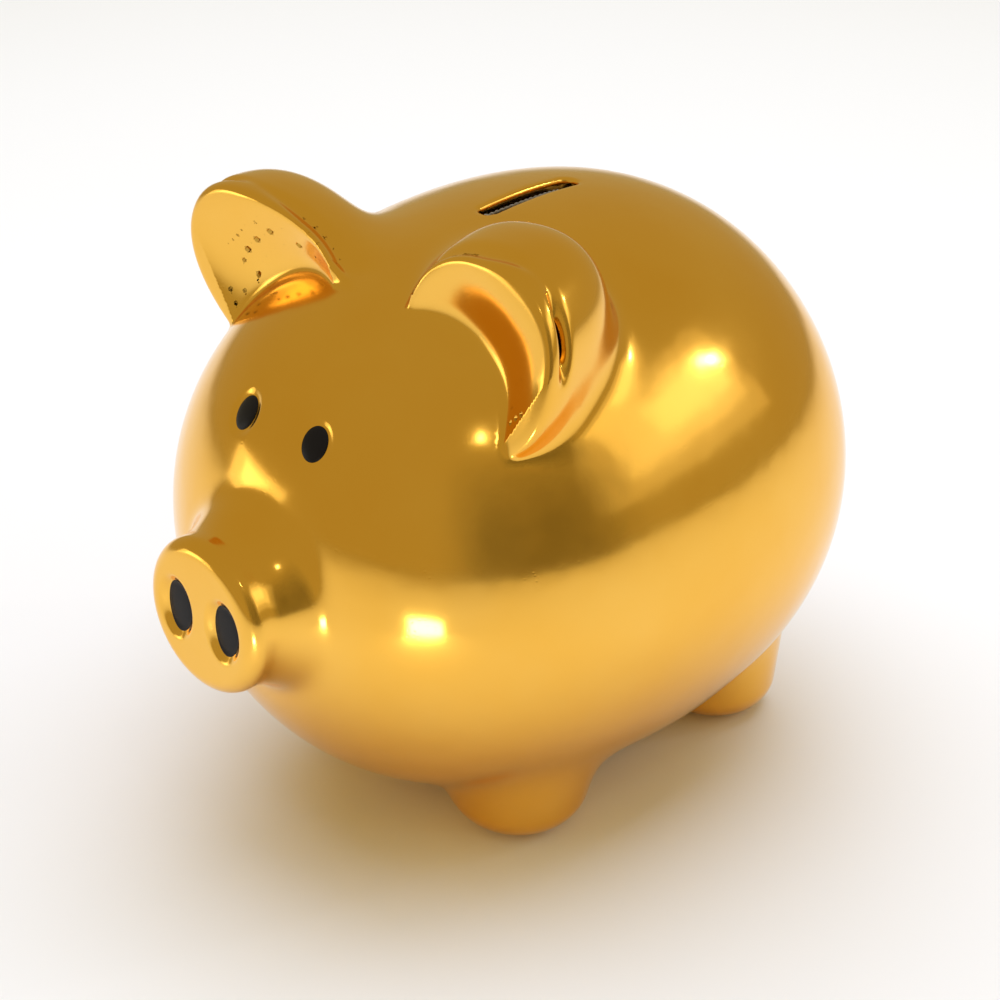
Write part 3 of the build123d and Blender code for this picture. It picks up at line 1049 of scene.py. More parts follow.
@dataclass(frozen=True)
class Finish:
    """A material made of one Principled shader whose colour, roughness and relief vary over the surface."""

    name: str
    light: tuple[float, float, float]
    dark: tuple[float, float, float]
    roughness: tuple[float, float]
    metallic: float = 0.0
    coat: float = 0.0
    coat_roughness: float = 0.1
    specular: float = 0.5
    wave_size: float = 55.0
    wave_height: float = 0.00006
    pit_size: float = 900.0
    pit_share: float = 0.3
    pit_height: float = 0.00003
    tone_size: float = 22.0

    def make(self, grain: bpy.types.NodeTree) -> bpy.types.Material:
        """Builds the material.

        Args:
            grain: The surface grain group.

        Returns:
            The material.
        """
        material = bpy.data.materials.new(self.name)
        material.use_nodes = True
        material.node_tree.nodes.clear()
        t = Tree(material.node_tree)
        sizes = {
            "Wave Size": self.wave_size,
            "Pit Size": self.pit_size,
            "Pit Share": self.pit_share,
            "Tone Size": self.tone_size,
        }
        face = t.add("ShaderNodeGroup", node_tree=grain)
        for name, value in sizes.items():
            face.inputs[name].default_value = value
        ramp = t.add("ShaderNodeValToRGB", {0: face.outputs["Tone"]})
        ramp.color_ramp.elements[0].position, ramp.color_ramp.elements[1].position = 0.3, 0.7
        ramp.color_ramp.elements[0].color = (*self.dark, 1.0)
        ramp.color_ramp.elements[1].color = (*self.light, 1.0)
        span = {1: 0.3, 2: 0.7, 3: self.roughness[0], 4: self.roughness[1]}
        rough = t.add("ShaderNodeMapRange", {0: face.outputs["Tone"], **span})
        slow = t.add("ShaderNodeBump", {"Height": face.outputs["Wave"], "Distance": self.wave_height, "Strength": 1.0})
        fine = t.add(
            "ShaderNodeBump",
            {"Height": face.outputs["Pits"], "Distance": self.pit_height, "Normal": slow.outputs[0]},
            invert=True,
        )
        shader = t.add(
            "ShaderNodeBsdfPrincipled",
            {
                "Base Color": ramp.outputs[0],
                "Roughness": rough.outputs[0],
                "Metallic": self.metallic,
                "Coat Weight": self.coat,
                "Coat Roughness": self.coat_roughness,
                "Specular IOR Level": self.specular,
                "Normal": fine.outputs[0],
            },
        )
        t.add("ShaderNodeOutputMaterial", {"Surface": shader.outputs[0]})
        return material


GILT = Finish(
    "mirror_gilding",
    light=(0.95, 0.545, 0.10),
    dark=(0.92, 0.495, 0.07),
    roughness=(0.11, 0.17),
    metallic=1.0,
    wave_height=0.00022,
)
ENAMEL = Finish(
    "black_enamel",
    light=(0.0085, 0.0072, 0.0085),
    dark=(0.006, 0.005, 0.006),
    roughness=(0.34, 0.42),
    specular=0.16,
)
CLAY = Finish(
    "bare_clay", light=(0.80, 0.77, 0.71), dark=(0.72, 0.68, 0.61), roughness=(0.75, 0.9), pit_height=0.00012
)
RUBBER = Finish(
    "soft_rubber",
    light=(0.055, 0.053, 0.050),
    dark=(0.040, 0.038, 0.036),
    roughness=(0.55, 0.68),
    pit_size=2200.0,
    pit_share=0.6,
    specular=0.35,
)
CARD = Finish(
    "dim_card", light=(0.30, 0.27, 0.16), dark=(0.20, 0.18, 0.10), roughness=(0.8, 0.9), tone_size=3.0
)
FLOOR = Finish(
    "pale_floor",
    light=(0.86, 0.86, 0.855),
    dark=(0.85, 0.85, 0.845),
    roughness=(0.85, 0.95),
    tone_size=1.5,
    pit_height=0.0,
)


# --- Pieces that are not cut from the gold skin ---------------------------------------------------------


@dataclass(frozen=True)
class EnamelDot:
    """A low dome of black enamel in the bottom of an oval pocket."""

    half_width: float
    half_height: float
    bulge: float = 0.35
    seat: float = 0.5
    rings: int = 14
    spokes: int = 72

    def make(self, name: str, place: tuple[Array, Array, Array, Array], pig: GildedPig) -> bpy.types.Object:
        """Builds the dot.

        Args:
            name: The piece's name.
            place: Middle, and the directions across, up and out.
            pig: The skin that the dot lies on.

        Returns:
            The dot.
        """
        middle, across, up, out = place
        angle = np.arange(self.spokes) * 2.0 * math.pi / self.spokes
        reach = np.concatenate((np.sin(np.linspace(0.0, math.pi / 2.0, self.rings + 1))[1:], [0.97, 0.6]))
        rise = self.bulge * np.sqrt(np.maximum(1.0 - reach**2, 0.0))
        rise[-2:] = -self.seat
        rows = []
        for r, lift in zip(reach, rise):
            flat = (
                middle
                + np.outer(np.cos(angle) * r * self.half_width, across)
                + np.outer(np.sin(angle) * r * self.half_height, up)
            )
            for _ in range(5):
                flat = flat - np.outer(pig.distance(flat), out)
            rows.append(flat + out * (lift + 0.04))
        points = np.concatenate(rows)
        top = rows[0].mean(0) + out * 0.002
        bottom = rows[-1].mean(0)
        points = np.concatenate((points, [top, bottom]))
        spokes = np.arange(self.spokes)
        after = np.roll(spokes, -1)
        faces = [np.stack((np.full(self.spokes, len(points) - 2), spokes, after), 1)]
        for row in range(len(rows) - 1):
            a, b = row * self.spokes, (row + 1) * self.spokes
            faces.append(np.stack((a + spokes, b + spokes, b + after), 1))
            faces.append(np.stack((a + spokes, b + after, a + after), 1))
        last = (len(rows) - 1) * self.spokes
        faces.append(np.stack((np.full(self.spokes, len(points) - 1), last + after, last + spokes), 1))
        piece = make_mesh(name, points, np.concatenate(faces))
        tidy_normals(piece)
        return piece


def tidy_normals(piece: bpy.types.Object) -> None:
    """Turns a closed mesh's faces outwards.

    Args:
        piece: The object with the mesh.
    """
    b = bmesh.new()
    b.from_mesh(piece.data)
    bmesh.ops.remove_doubles(b, verts=b.verts, dist=1e-7)
    bmesh.ops.recalc_face_normals(b, faces=b.faces)
    b.to_mesh(piece.data)
    b.free()


def dress(piece: bpy.types.Object, *materials: bpy.types.Material) -> None:
    """Gives a piece its materials, in order."""
    piece.data.materials.clear()
    for material in materials:
        piece.data.materials.append(material)


def bake_nodes(name: str, group: bpy.types.NodeTree, values: dict[str, object]) -> bpy.types.Object:
    """Runs a geometry node tree once and keeps its result as a plain mesh.

    Args:
        name: The piece's name.
        group: The node tree.
        values: Values for its named inputs.

    Returns:
        The finished piece, without modifiers.
    """
    carrier = bpy.data.objects.new(name + "_rule", bpy.data.meshes.new(name + "_rule"))
    bpy.context.scene.collection.objects.link(carrier)
    modifier = carrier.modifiers.new("rule", "NODES")
    modifier.node_group = group
    for item in group.interface.items_tree:
        if item.item_type == "SOCKET" and item.in_out == "INPUT" and item.name in values:
            modifier[item.identifier] = values[item.name]
    bpy.context.view_layer.update()
    ready = carrier.evaluated_get(bpy.context.evaluated_depsgraph_get())
    mesh = bpy.data.meshes.new_from_object(ready)
    mesh.name = name
    bpy.data.objects.remove(carrier)
    piece = bpy.data.objects.new(name, mesh)
    bpy.context.scene.collection.objects.link(piece)
    mesh.polygons.foreach_set("use_smooth", np.ones(len(mesh.polygons), bool))
    return piece


@dataclass(frozen=True)
class CurledTail:
    """A tapering coil of clay curled flat against the rump, made along a rule."""

    height: float = 22.0
    thickness: float = 5.8
    sink: float = 1.4
    outer: float = 8.6
    inner: float = 2.2
    root_angle: float = math.radians(-120.0)
    sweep: float = math.radians(445.0)
    tip_share: float = 0.74
    end_share: float = 0.055

    def tree(self) -> bpy.types.NodeTree:
        """The rule: a spiral path, a round section that tapers, and its place on the rump.

        Returns:
            The node group.
        """
        group = bpy.data.node_groups.new("curled_coil", "GeometryNodeTree")
        face = group.interface
        face.new_socket("Geometry", in_out="OUTPUT", socket_type="NodeSocketGeometry")
        for name in ("Thickness", "Outer", "Inner", "Root Angle", "Sweep", "Tip Share", "End Share"):
            face.new_socket(name, in_out="INPUT", socket_type="NodeSocketFloat")
        for name in ("Turn", "Place"):
            face.new_socket(name, in_out="INPUT", socket_type="NodeSocketVector")
        face.new_socket("Material", in_out="INPUT", socket_type="NodeSocketMaterial")
        t = Tree(group)
        given = t.add("NodeGroupInput").outputs
        line = t.add("GeometryNodeCurvePrimitiveLine")
        path = t.add("GeometryNodeResampleCurve", {"Curve": line.outputs[0], "Count": 220})
        share = t.add("GeometryNodeSplineParameter").outputs["Factor"]
        turned = t.add("ShaderNodeMath", {0: share, 1: given["Sweep"], 2: given["Root Angle"]}, operation="MULTIPLY_ADD")
        away = t.add(
            "ShaderNodeMapRange",
            {0: share, 1: 0.42, 2: 0.95, 3: given["Outer"], 4: given["Inner"]},
            interpolation_type="SMOOTHSTEP",
        )
        x = t.add("ShaderNodeMath", {0: turned.outputs[0]}, operation="COSINE")
        y = t.add("ShaderNodeMath", {0: turned.outputs[0]}, operation="SINE")
        spot = t.add("ShaderNodeCombineXYZ", {0: x.outputs[0], 1: y.outputs[0]})
        wide = t.add("ShaderNodeVectorMath", {0: spot.outputs[0], "Scale": away.outputs[0]}, operation="SCALE")
        bent = t.add("GeometryNodeSetPosition", {"Geometry": path.outputs[0], "Position": wide.outputs[0]})
        taper = t.add("ShaderNodeMapRange", {0: share, 1: 0.3, 2: 1.0, 3: 1.0, 4: given["Tip Share"]})
        flipped = t.add("ShaderNodeMath", {0: 1.0, 1: share}, operation="SUBTRACT")
        nearest = t.add("ShaderNodeMath", {0: share, 1: flipped.outputs[0]}, operation="MINIMUM")
        part = t.add("ShaderNodeMath", {0: nearest.outputs[0], 1: given["End Share"]}, operation="DIVIDE", use_clamp=True)
        rest = t.add("ShaderNodeMath", {0: 2.0, 1: part.outputs[0]}, operation="SUBTRACT")
        square = t.add("ShaderNodeMath", {0: part.outputs[0], 1: rest.outputs[0]}, operation="MULTIPLY")
        dome = t.add("ShaderNodeMath", {0: square.outputs[0]}, operation="SQRT")
        size = t.add("ShaderNodeMath", {0: dome.outputs[0], 1: taper.outputs[0]}, operation="MULTIPLY")
        kept = t.add("ShaderNodeMath", {0: size.outputs[0], 1: 0.02}, operation="MAXIMUM")
        half = t.add("ShaderNodeMath", {0: given["Thickness"], 1: 0.5}, operation="MULTIPLY")
        ring = t.add("GeometryNodeCurvePrimitiveCircle", {"Resolution": 32, "Radius": half.outputs[0]})
        tube = t.add(
            "GeometryNodeCurveToMesh",
            {"Curve": bent.outputs[0], "Profile Curve": ring.outputs[0], "Scale": kept.outputs[0], "Fill Caps": True},
        )
        put = t.add(
            "GeometryNodeTransform",
            {"Geometry": tube.outputs[0], "Translation": given["Place"], "Rotation": given["Turn"]},
        )
        real = t.add("GeometryNodeRealizeInstances", {0: put.outputs[0]})
        done = t.add("GeometryNodeSetMaterial", {"Geometry": real.outputs[0], "Material": given["Material"]})
        t.add("NodeGroupOutput", {"Geometry": done.outputs[0]})
        return group

    def make(self, egg: EggForm, gilt: bpy.types.Material) -> bpy.types.Object:
        """Builds the tail on the egg's rump.

        Args:
            egg: The egg that carries the tail.
            gilt: The tail's material.

        Returns:
            The tail's object.
        """
        low, high = 0.0, egg.half_length
        for _ in range(50):
            y = (low + high) / 2.0
            low, high = (y, high) if egg.distance(np.array([0.0, y, self.height])) < 0.0 else (low, y)
        spot = np.array([0.0, y, self.height])
        out = slope_of(egg.distance, spot[None])[0]
        out /= np.linalg.norm(out)
        across = np.cross((0.0, 0.0, 1.0), out)
        across /= np.linalg.norm(across)
        up = np.cross(out, across)
        centre = spot + out * (self.thickness / 2.0 - self.sink) + EGG_CENTRE
        turn = Matrix((across, up, out)).transposed().to_euler()
        piece = bake_nodes(
            "tail_curl",
            self.tree(),
            {
                "Thickness": self.thickness * MM,
                "Outer": self.outer * MM,
                "Inner": self.inner * MM,
                "Root Angle": self.root_angle,
                "Sweep": self.sweep,
                "Tip Share": self.tip_share,
                "End Share": self.end_share,
                "Turn": tuple(turn),
                "Place": tuple(centre * MM),
                "Material": gilt,
            },
        )
        tidy_normals(piece)
        return piece


@dataclass(frozen=True)
class BellyStopper:
    """The rubber stopper: flange, ribbed plug, finger recess, and the ledge that the tab folds on."""

    y: float = 14.7
    bottom: float = -70.8
    flange_radius: float = 22.15
    flange_top: float = -68.8
    core_radius: float = 17.2
    top: float = -57.8
    recess_radius: float = 14.2
    recess_roof: float = -59.8
    edge: float = 0.6
    rib_radius: float = 17.9
    rib_height: float = 1.4
    rib_count: int = 3
    rib_spacing: float = 3.2
    ledge_y: float = 4.7
    ledge_top: float = -67.2
    spokes: int = 128

    def profile(self) -> list[tuple[float, float]]:
        """The turned outline as radius and height, with each corner rounded.

        Returns:
            The outline's points, mm.
        """
        corners = [
            (self.recess_radius, self.recess_roof),
            (self.recess_radius, self.bottom),
            (self.flange_radius, self.bottom),
            (self.flange_radius, self.flange_top),
            (self.core_radius, self.flange_top),
            (self.core_radius, self.top),
        ]
        path = [(0.0, self.recess_roof), *corners, (0.0, self.top)]
        points = [path[0]]
        for before, at, after in zip(path, path[1:], path[2:]):
            a, b, c = Vector(before), Vector(at), Vector(after)
            start, end = b + (a - b).normalized() * self.edge, b + (c - b).normalized() * self.edge
            for t in np.linspace(0.0, 1.0, 6):
                spot = start * (1 - t) ** 2 + b * 2 * t * (1 - t) + end * t * t
                points.append((spot.x, spot.y))
        return [*points, path[-1]]

    def turned(self) -> tuple[Array, Array]:
        """The turned body as points and quads.

        Returns:
            The points, mm, and the faces.
        """
        outline = np.array(self.profile()[1:-1])
        angle = np.arange(self.spokes) * 2.0 * math.pi / self.spokes
        rows = [
            np.stack((r * np.cos(angle), self.y + r * np.sin(angle), np.full(self.spokes, z)), 1) for r, z in outline
        ]
        points = np.concatenate((*rows, [[0.0, self.y, self.recess_roof], [0.0, self.y, self.top]]))
        spokes, faces = np.arange(self.spokes), []
        after = np.roll(spokes, -1)
        for row in range(len(rows) - 1):
            a, b = row * self.spokes, (row + 1) * self.spokes
            faces.append(np.stack((a + spokes, b + spokes, b + after), 1))
            faces.append(np.stack((a + spokes, b + after, a + after), 1))
        hub, last = len(points) - 2, (len(rows) - 1) * self.spokes
        faces.append(np.stack((np.full(self.spokes, hub), spokes, after), 1))
        faces.append(np.stack((np.full(self.spokes, hub + 1), last + after, last + spokes), 1))
        return points, np.concatenate(faces)

    def ledge(self) -> bpy.types.Object:
        """The ledge across the recess, with softened edges.

        Returns:
            The ledge's object.
        """
        reach = self.recess_radius + 0.4
        start = math.asin((self.ledge_y - self.y) / reach)
        sweep = np.linspace(math.pi - start, 2.0 * math.pi + start, 40)
        b = bmesh.new()
        ring = [
            b.verts.new(Vector((reach * math.cos(a), self.y + reach * math.sin(a), self.bottom + 0.15))) for a in sweep
        ]
        floor = b.faces.new(ring)
        grown = bmesh.ops.extrude_face_region(b, geom=[floor])
        lift = [v for v in grown["geom"] if isinstance(v, bmesh.types.BMVert)]
        bmesh.ops.translate(b, verts=lift, vec=(0.0, 0.0, self.ledge_top - self.bottom - 0.15))
        front = [e for e in b.edges if all(abs(v.co.y - self.ledge_y) < 0.01 for v in e.verts)]
        bmesh.ops.bevel(b, geom=front, offset=0.5, segments=4, affect="EDGES", profile=0.5)
        bmesh.ops.recalc_face_normals(b, faces=b.faces)
        bmesh.ops.translate(b, verts=b.verts, vec=Vector(EGG_CENTRE))
        bmesh.ops.scale(b, verts=b.verts, vec=(MM, MM, MM))
        mesh = bpy.data.meshes.new("ledge")
        b.to_mesh(mesh)
        b.free()
        piece = bpy.data.objects.new("ledge", mesh)
        bpy.context.scene.collection.objects.link(piece)
        return piece

    def rib_tree(self) -> bpy.types.NodeTree:
        """The rule for the sealing ribs: one rounded ring repeated up the plug.

        Returns:
            The node group.
        """
        group = bpy.data.node_groups.new("sealing_ribs", "GeometryNodeTree")
        face = group.interface
        face.new_socket("Geometry", in_out="OUTPUT", socket_type="NodeSocketGeometry")
        for name in ("Radius", "Height", "Spacing"):
            face.new_socket(name, in_out="INPUT", socket_type="NodeSocketFloat")
        face.new_socket("Count", in_out="INPUT", socket_type="NodeSocketInt")
        face.new_socket("First", in_out="INPUT", socket_type="NodeSocketVector")
        face.new_socket("Material", in_out="INPUT", socket_type="NodeSocketMaterial")
        t = Tree(group)
        given = t.add("NodeGroupInput").outputs
        half = t.add("ShaderNodeMath", {0: given["Height"], 1: 0.5}, operation="MULTIPLY")
        middle = t.add("ShaderNodeMath", {0: given["Radius"], 1: half.outputs[0]}, operation="SUBTRACT")
        ring = t.add("GeometryNodeCurvePrimitiveCircle", {"Resolution": 128, "Radius": middle.outputs[0]})
        bead = t.add("GeometryNodeCurvePrimitiveCircle", {"Resolution": 16, "Radius": half.outputs[0]})
        rib = t.add("GeometryNodeCurveToMesh", {"Curve": ring.outputs[0], "Profile Curve": bead.outputs[0]})
        step = t.add("ShaderNodeCombineXYZ", {2: given["Spacing"]})
        places = t.add(
            "GeometryNodeMeshLine",
            {"Count": given["Count"], "Start Location": given["First"], "Offset": step.outputs[0]},
        )
        many = t.add("GeometryNodeInstanceOnPoints", {"Points": places.outputs[0], "Instance": rib.outputs[0]})
        real = t.add("GeometryNodeRealizeInstances", {0: many.outputs[0]})
        done = t.add("GeometryNodeSetMaterial", {"Geometry": real.outputs[0], "Material": given["Material"]})
        t.add("NodeGroupOutput", {"Geometry": done.outputs[0]})
        return group

    def make(self, rubber: bpy.types.Material) -> bpy.types.Object:
        """Builds the stopper.

        Args:
            rubber: The stopper's material.

        Returns:
            The stopper's object.
        """
        piece = make_mesh("belly_stopper", *self.turned())
        tidy_normals(piece)
        join_meshes(piece, self.ledge())
        first = np.array([0.0, self.y, self.flange_top + self.rib_spacing]) + EGG_CENTRE
        ribs = bake_nodes(
            "ribs",
            self.rib_tree(),
            {
                "Radius": self.rib_radius * MM,
                "Height": self.rib_height * MM,
                "Spacing": self.rib_spacing * MM,
                "Count": self.rib_count,
                "First": tuple(first * MM),
                "Material": rubber,
            },
        )
        tidy_normals(ribs)
        join_meshes(piece, ribs)
        dress(piece, rubber)
        return piece


@dataclass(frozen=True)
class PullTab:
    """The flat tab with a round end, an eye and softened edges, square at its hinge end."""

    hinge_y: float = 5.9
    hinge_z: float = -69.9
    width: float = 13.0
    length: float = 18.5
    thickness: float = 1.8
    eye_radius: float = 3.25
    edge: float = 0.35
    steps: int = 48

    def make(self, rubber: bpy.types.Material) -> bpy.types.Object:
        """Builds the tab.

        Args:
            rubber: The tab's material.

        Returns:
            The tab's object.
        """
        half, reach = self.width / 2.0, self.length - self.width / 2.0
        hub = np.array([0.0, self.hinge_y + reach])
        angle = np.arange(self.steps) * 2.0 * math.pi / self.steps
        eye = hub + self.eye_radius * np.stack((np.cos(angle), np.sin(angle)), 1)
        outer = []
        for a in angle:
            x, y = half * math.cos(a), half * math.sin(a)
            if y < 0.0:
                stretch = (reach + self.thickness / 2.0) / max(-math.sin(a), 1e-6)
                side = half / max(abs(math.cos(a)), 1e-6)
                r = min(stretch, side)
                x, y = r * math.cos(a), r * math.sin(a)
            outer.append((x, y))
        outer = hub + np.array(outer)
        corner = np.array([[s * half, self.hinge_y - self.thickness / 2.0] for s in (-1.0, 1.0)])
        for spot in corner:
            outer[np.linalg.norm(outer - spot, axis=1).argmin()] = spot
        b = bmesh.new()
        layers = []
        for z in (-self.thickness / 2.0, self.thickness / 2.0):
            layers.append(
                [[b.verts.new((x, y, self.hinge_z + z)) for x, y in loop] for loop in (outer, eye)]
            )
        for k in range(self.steps):
            n = (k + 1) % self.steps
            for rim, bore in layers:
                b.faces.new((rim[k], rim[n], bore[n], bore[k]))
            for loop in (0, 1):
                b.faces.new((layers[0][loop][k], layers[0][loop][n], layers[1][loop][n], layers[1][loop][k]))
        bmesh.ops.recalc_face_normals(b, faces=b.faces)
        rims = [e for e in b.edges if len(e.link_faces) == 2 and e.calc_face_angle(0.0) > 1.0]
        level = [e for e in rims if abs(e.verts[0].co.z - e.verts[1].co.z) < 1e-4]
        bmesh.ops.bevel(b, geom=level, offset=self.edge, segments=3, affect="EDGES", profile=0.5)
        bmesh.ops.translate(b, verts=b.verts, vec=Vector(EGG_CENTRE))
        bmesh.ops.scale(b, verts=b.verts, vec=(MM, MM, MM))
        mesh = bpy.data.meshes.new("folding_tab")
        b.to_mesh(mesh)
        b.free()
        piece = bpy.data.objects.new("folding_tab", mesh)
        bpy.context.scene.collection.objects.link(piece)
        dress(piece, rubber)
        return piece


# --- Studio ----------------------------------------------------------------------------------------------


@dataclass(frozen=True)
class SoftLight:
    """A rectangular lamp behind a diffuser."""

    name: str
    toward: tuple[float, float]  # azimuth and elevation of the lamp seen from its aim, degrees
    away: float
    size: tuple[float, float]
    glow: float  # radiance of the diffuser
    aim: tuple[float, float, float] = (0.0, 0.0, 0.08)
    mirrored: bool = True  # whether the gold shows the lamp itself
    tint: tuple[float, float, float] = (1.0, 1.0, 1.0)

    def power(self) -> float:
        """The lamp's power, in watts."""
        return self.glow * math.pi * self.size[0] * self.size[1]


@dataclass(frozen=True)
class Studio:
    """Camera, floor, room tone and lamps."""

    azimuth: float = math.radians(44.48)
    elevation: float = math.radians(27.81)
    away: float = 0.6144
    target: tuple[float, float, float] = (0.00026, 0.00133, 0.07374)
    lens: float = 86.4
    floor_side: float = 8.0
    card_azimuths: tuple[float, float] = (34.0, 112.0)
    card_away: float = 1.3
    card_height: float = 1.5
    card_cover: float = 0.85  # how much the card hides where it is thickest
    card_grid: tuple[int, int] = (33, 17)  # points along and up the card
    room: tuple[float, float, float] = (0.47, 0.395, 0.19)
    lamps: tuple[SoftLight, ...] = (
        SoftLight("window_haze", (122.0, 26.0), 1.8, (1.7, 1.0), 0.30),
        SoftLight("window_glow", (126.0, 27.0), 1.75, (1.1, 0.62), 0.40),
        SoftLight("window_core", (132.0, 28.0), 1.7, (0.60, 0.34), 0.45),
        SoftLight("spark", (144.0, 30.0), 1.6, (0.06, 0.06), 60.0),
        SoftLight("high_lamp", (59.0, 50.0), 1.2, (0.045, 0.045), 20.0),
        SoftLight("face_panel", (-42.0, 0.0), 1.0, (0.5, 0.30), 0.9),
        SoftLight("face_core", (-42.0, 2.0), 0.95, (0.22, 0.16), 1.0),
        SoftLight("low_kicker", (28.0, 3.0), 0.17, (0.045, 0.03), 12.0, aim=(0.044, -0.06, 0.0)),
        SoftLight("overhead", (0.0, 90.0), 1.2, (1.4, 1.4), 2.7, (-0.18, 0.18, 0.0), False, (0.88, 0.97, 1.24)),
    )

    def direction(self, azimuth: float, elevation: float) -> Vector:
        """The direction from the pig at an azimuth and elevation, in radians; azimuth 0 is its front."""
        return Vector(
            (
                math.sin(azimuth) * math.cos(elevation),
                -math.cos(azimuth) * math.cos(elevation),
                math.sin(elevation),
            )
        )

    def camera(self) -> None:
        """Places the camera and makes it the scene's."""
        data = bpy.data.cameras.new("studio_camera")
        data.lens, data.sensor_width = self.lens, 36.0
        data.clip_start, data.clip_end = 0.01, 50.0
        eye = bpy.data.objects.new("studio_camera", data)
        bpy.context.scene.collection.objects.link(eye)
        back = self.direction(self.azimuth, self.elevation)
        eye.location = Vector(self.target) + back * self.away
        eye.rotation_euler = (-back).to_track_quat("-Z", "Y").to_euler()
        bpy.context.scene.camera = eye

    def dark_card(self) -> None:
        """Stands a dim card beside the camera, which only the gold sees."""
        low, high = (math.radians(a) for a in self.card_azimuths)
        columns, rows = self.card_grid
        along, up = np.linspace(0.0, 1.0, columns), np.linspace(0.0, 1.0, rows)
        edge = [self.direction(low + (high - low) * a, 0.0) * self.card_away for a in along]
        points = [Vector((v.x, v.y, z * self.card_height)) for z in up for v in edge]
        corners = (k for r in range(rows - 1) for k in range(r * columns, (r + 1) * columns - 1))
        faces = [(k, k + 1, k + columns + 1, k + columns) for k in corners]
        mesh = bpy.data.meshes.new("dim_card")
        mesh.from_pydata(points, [], faces)
        across = fade(along, 0.0, 0.35) * (1.0 - fade(along, 0.72, 1.0))
        cover = self.card_cover * np.outer(1.0 - fade(up, 0.25, 1.0), across)
        layer = mesh.attributes.new("cover", "FLOAT", "POINT")
        layer.data.foreach_set("value", cover.ravel().astype(np.float32))
        card = bpy.data.objects.new("dim_card", mesh)
        bpy.context.scene.collection.objects.link(card)
        dim = CARD.make(bpy.data.node_groups["surface_grain"])
        tree = Tree(dim.node_tree)
        spread = tree.add("ShaderNodeAttribute", attribute_name="cover")
        shader = next(node for node in dim.node_tree.nodes if node.type == "BSDF_PRINCIPLED")
        dim.node_tree.links.new(spread.outputs["Fac"], shader.inputs["Alpha"])
        mesh.materials.append(dim)
        card.visible_camera, card.visible_diffuse, card.visible_shadow = False, False, False

    def surroundings(self, floor_finish: bpy.types.Material) -> None:
        """Lays the floor, sets the room tone and hangs the lamps.

        Args:
            floor_finish: The floor's material.
        """
        half = self.floor_side / 2.0
        mesh = bpy.data.meshes.new("studio_floor")
        corners = [(x * half, y * half, 0.0) for x, y in ((-1, -1), (1, -1), (1, 1), (-1, 1))]
        mesh.from_pydata(corners, [], [(0, 1, 2, 3)])
        floor = bpy.data.objects.new("studio_floor", mesh)
        bpy.context.scene.collection.objects.link(floor)
        mesh.materials.append(floor_finish)
        world = bpy.data.worlds.new("room")
        world.use_nodes = True
        world.node_tree.nodes["Background"].inputs["Color"].default_value = (*self.room, 1.0)
        bpy.context.scene.world = world
        for lamp in self.lamps:
            data = bpy.data.lights.new(lamp.name, "AREA")
            data.shape, data.size, data.size_y = "RECTANGLE", *lamp.size
            data.energy, data.color = lamp.power(), lamp.tint
            holder = bpy.data.objects.new(lamp.name, data)
            bpy.context.scene.collection.objects.link(holder)
            toward = self.direction(*(math.radians(a) for a in lamp.toward))
            holder.location = Vector(lamp.aim) + toward * lamp.away
            holder.rotation_euler = (-toward).to_track_quat("-Z", "Y").to_euler()
            holder.visible_camera, holder.visible_glossy = False, lamp.mirrored
        self.dark_card()
        bpy.context.scene.view_settings.view_transform = "Standard"


# --- Assembly --------------------------------------------------------------------------------------------


def declare(piece: bpy.types.Object, body: Body, slot: Slot, *nodes: str) -> None:
    """Says what a piece rides on and which CAD nodes it stands for.

    Args:
        piece: The finished object.
        body: The body that it rides on.
        slot: Not used.
        nodes: The CAD nodes that it stands for.
    """
    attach(piece, body.value)
    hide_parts(*nodes)
    log.info("%s: %d faces for %s", piece.name, len(piece.data.polygons), ", ".join(nodes))


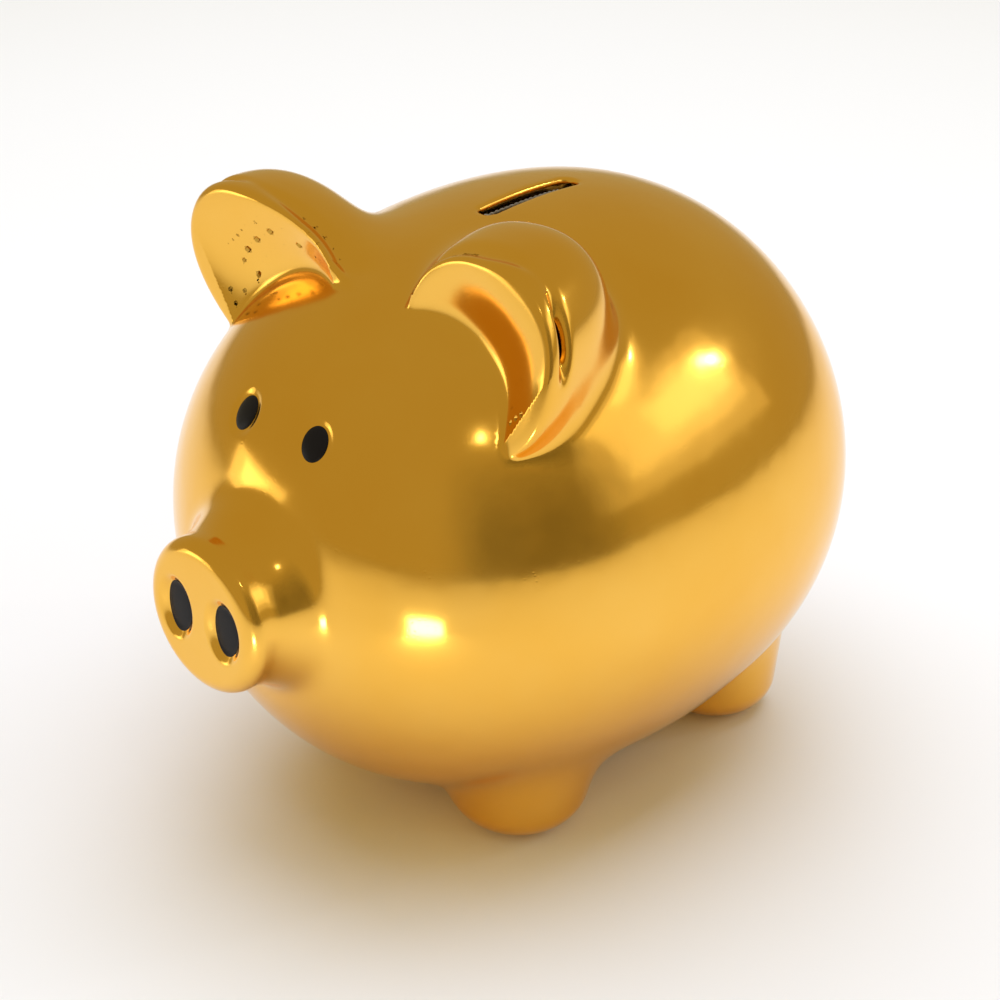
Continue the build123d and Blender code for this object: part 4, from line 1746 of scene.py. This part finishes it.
def gold_pieces(pig: GildedPig, gilt: bpy.types.Material, clay: bpy.types.Material) -> None:
    """Makes every gold piece, with bare clay on the shell's inside."""
    for name, (p, triangles, normals) in pig.pieces().items():
        piece = make_mesh("gilt_" + name, p, triangles, normals)
        dress(piece, gilt, clay)
        middle = p[triangles].mean(1)
        inner = (pig.egg.distance(middle) < -3.0) & (middle[:, 2] > pig.egg.belly + 4.0)
        inner &= name == "body_shell"
        if len(piece.data.polygons) == len(inner):
            piece.data.polygons.foreach_set("material_index", inner.astype(np.int32))
        declare(piece, Body.BANK, Slot.GILT, name)


def enamel_pieces(pig: GildedPig, black: bpy.types.Material) -> None:
    """Makes the eyes and nostrils.

    Args:
        pig: The gold pig that carries the dots.
        black: The enamel.
    """
    middle, across, up, out = pig.eye.frame(pig.egg)
    snout = pig.members["snout"]
    nose = np.array([snout.nostril_x, snout.front, snout.height])
    axes = tuple(np.array(v) for v in ((1.0, 0.0, 0.0), (0.0, 0.0, 1.0), (0.0, -1.0, 0.0)))
    for side, mirror in (("left", 1.0), ("right", -1.0)):
        flip = np.array([mirror, 1.0, 1.0])
        place = tuple(v * flip for v in (middle, across, up, out))
        eye = EnamelDot(3.45, 4.3, bulge=0.6).make(f"{side}_eye_dot", place, pig)
        dress(eye, black)
        declare(eye, Body.BANK, Slot.ENAMEL, f"{side}_eye")
        dot = EnamelDot(4.1, 6.6).make(f"{side}_nostril_dot", (nose * flip, *axes), pig)
        dress(dot, black)
        declare(dot, Body.BANK, Slot.ENAMEL, f"{side}_nostril")


def main() -> None:
    """Builds the studio and the pig."""
    logging.basicConfig(level=logging.INFO, format="%(name)s: %(message)s")
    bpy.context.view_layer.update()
    grain = surface_grain_group()
    studio = Studio()
    studio.camera()
    studio.surroundings(FLOOR.make(grain))
    gilt, black, rubber, clay = (f.make(grain) for f in (GILT, ENAMEL, RUBBER, CLAY))
    pig = GildedPig()
    gold_pieces(pig, gilt, clay)
    enamel_pieces(pig, black)
    declare(CurledTail().make(pig.egg, gilt), Body.BANK, Slot.GILT, "tail")
    declare(BellyStopper().make(rubber), Body.STOPPER, Slot.RUBBER, "stopper_plug")
    declare(PullTab().make(rubber), Body.TAB, Slot.RUBBER, "stopper_tab")


if __name__ == "__main__":
    main()
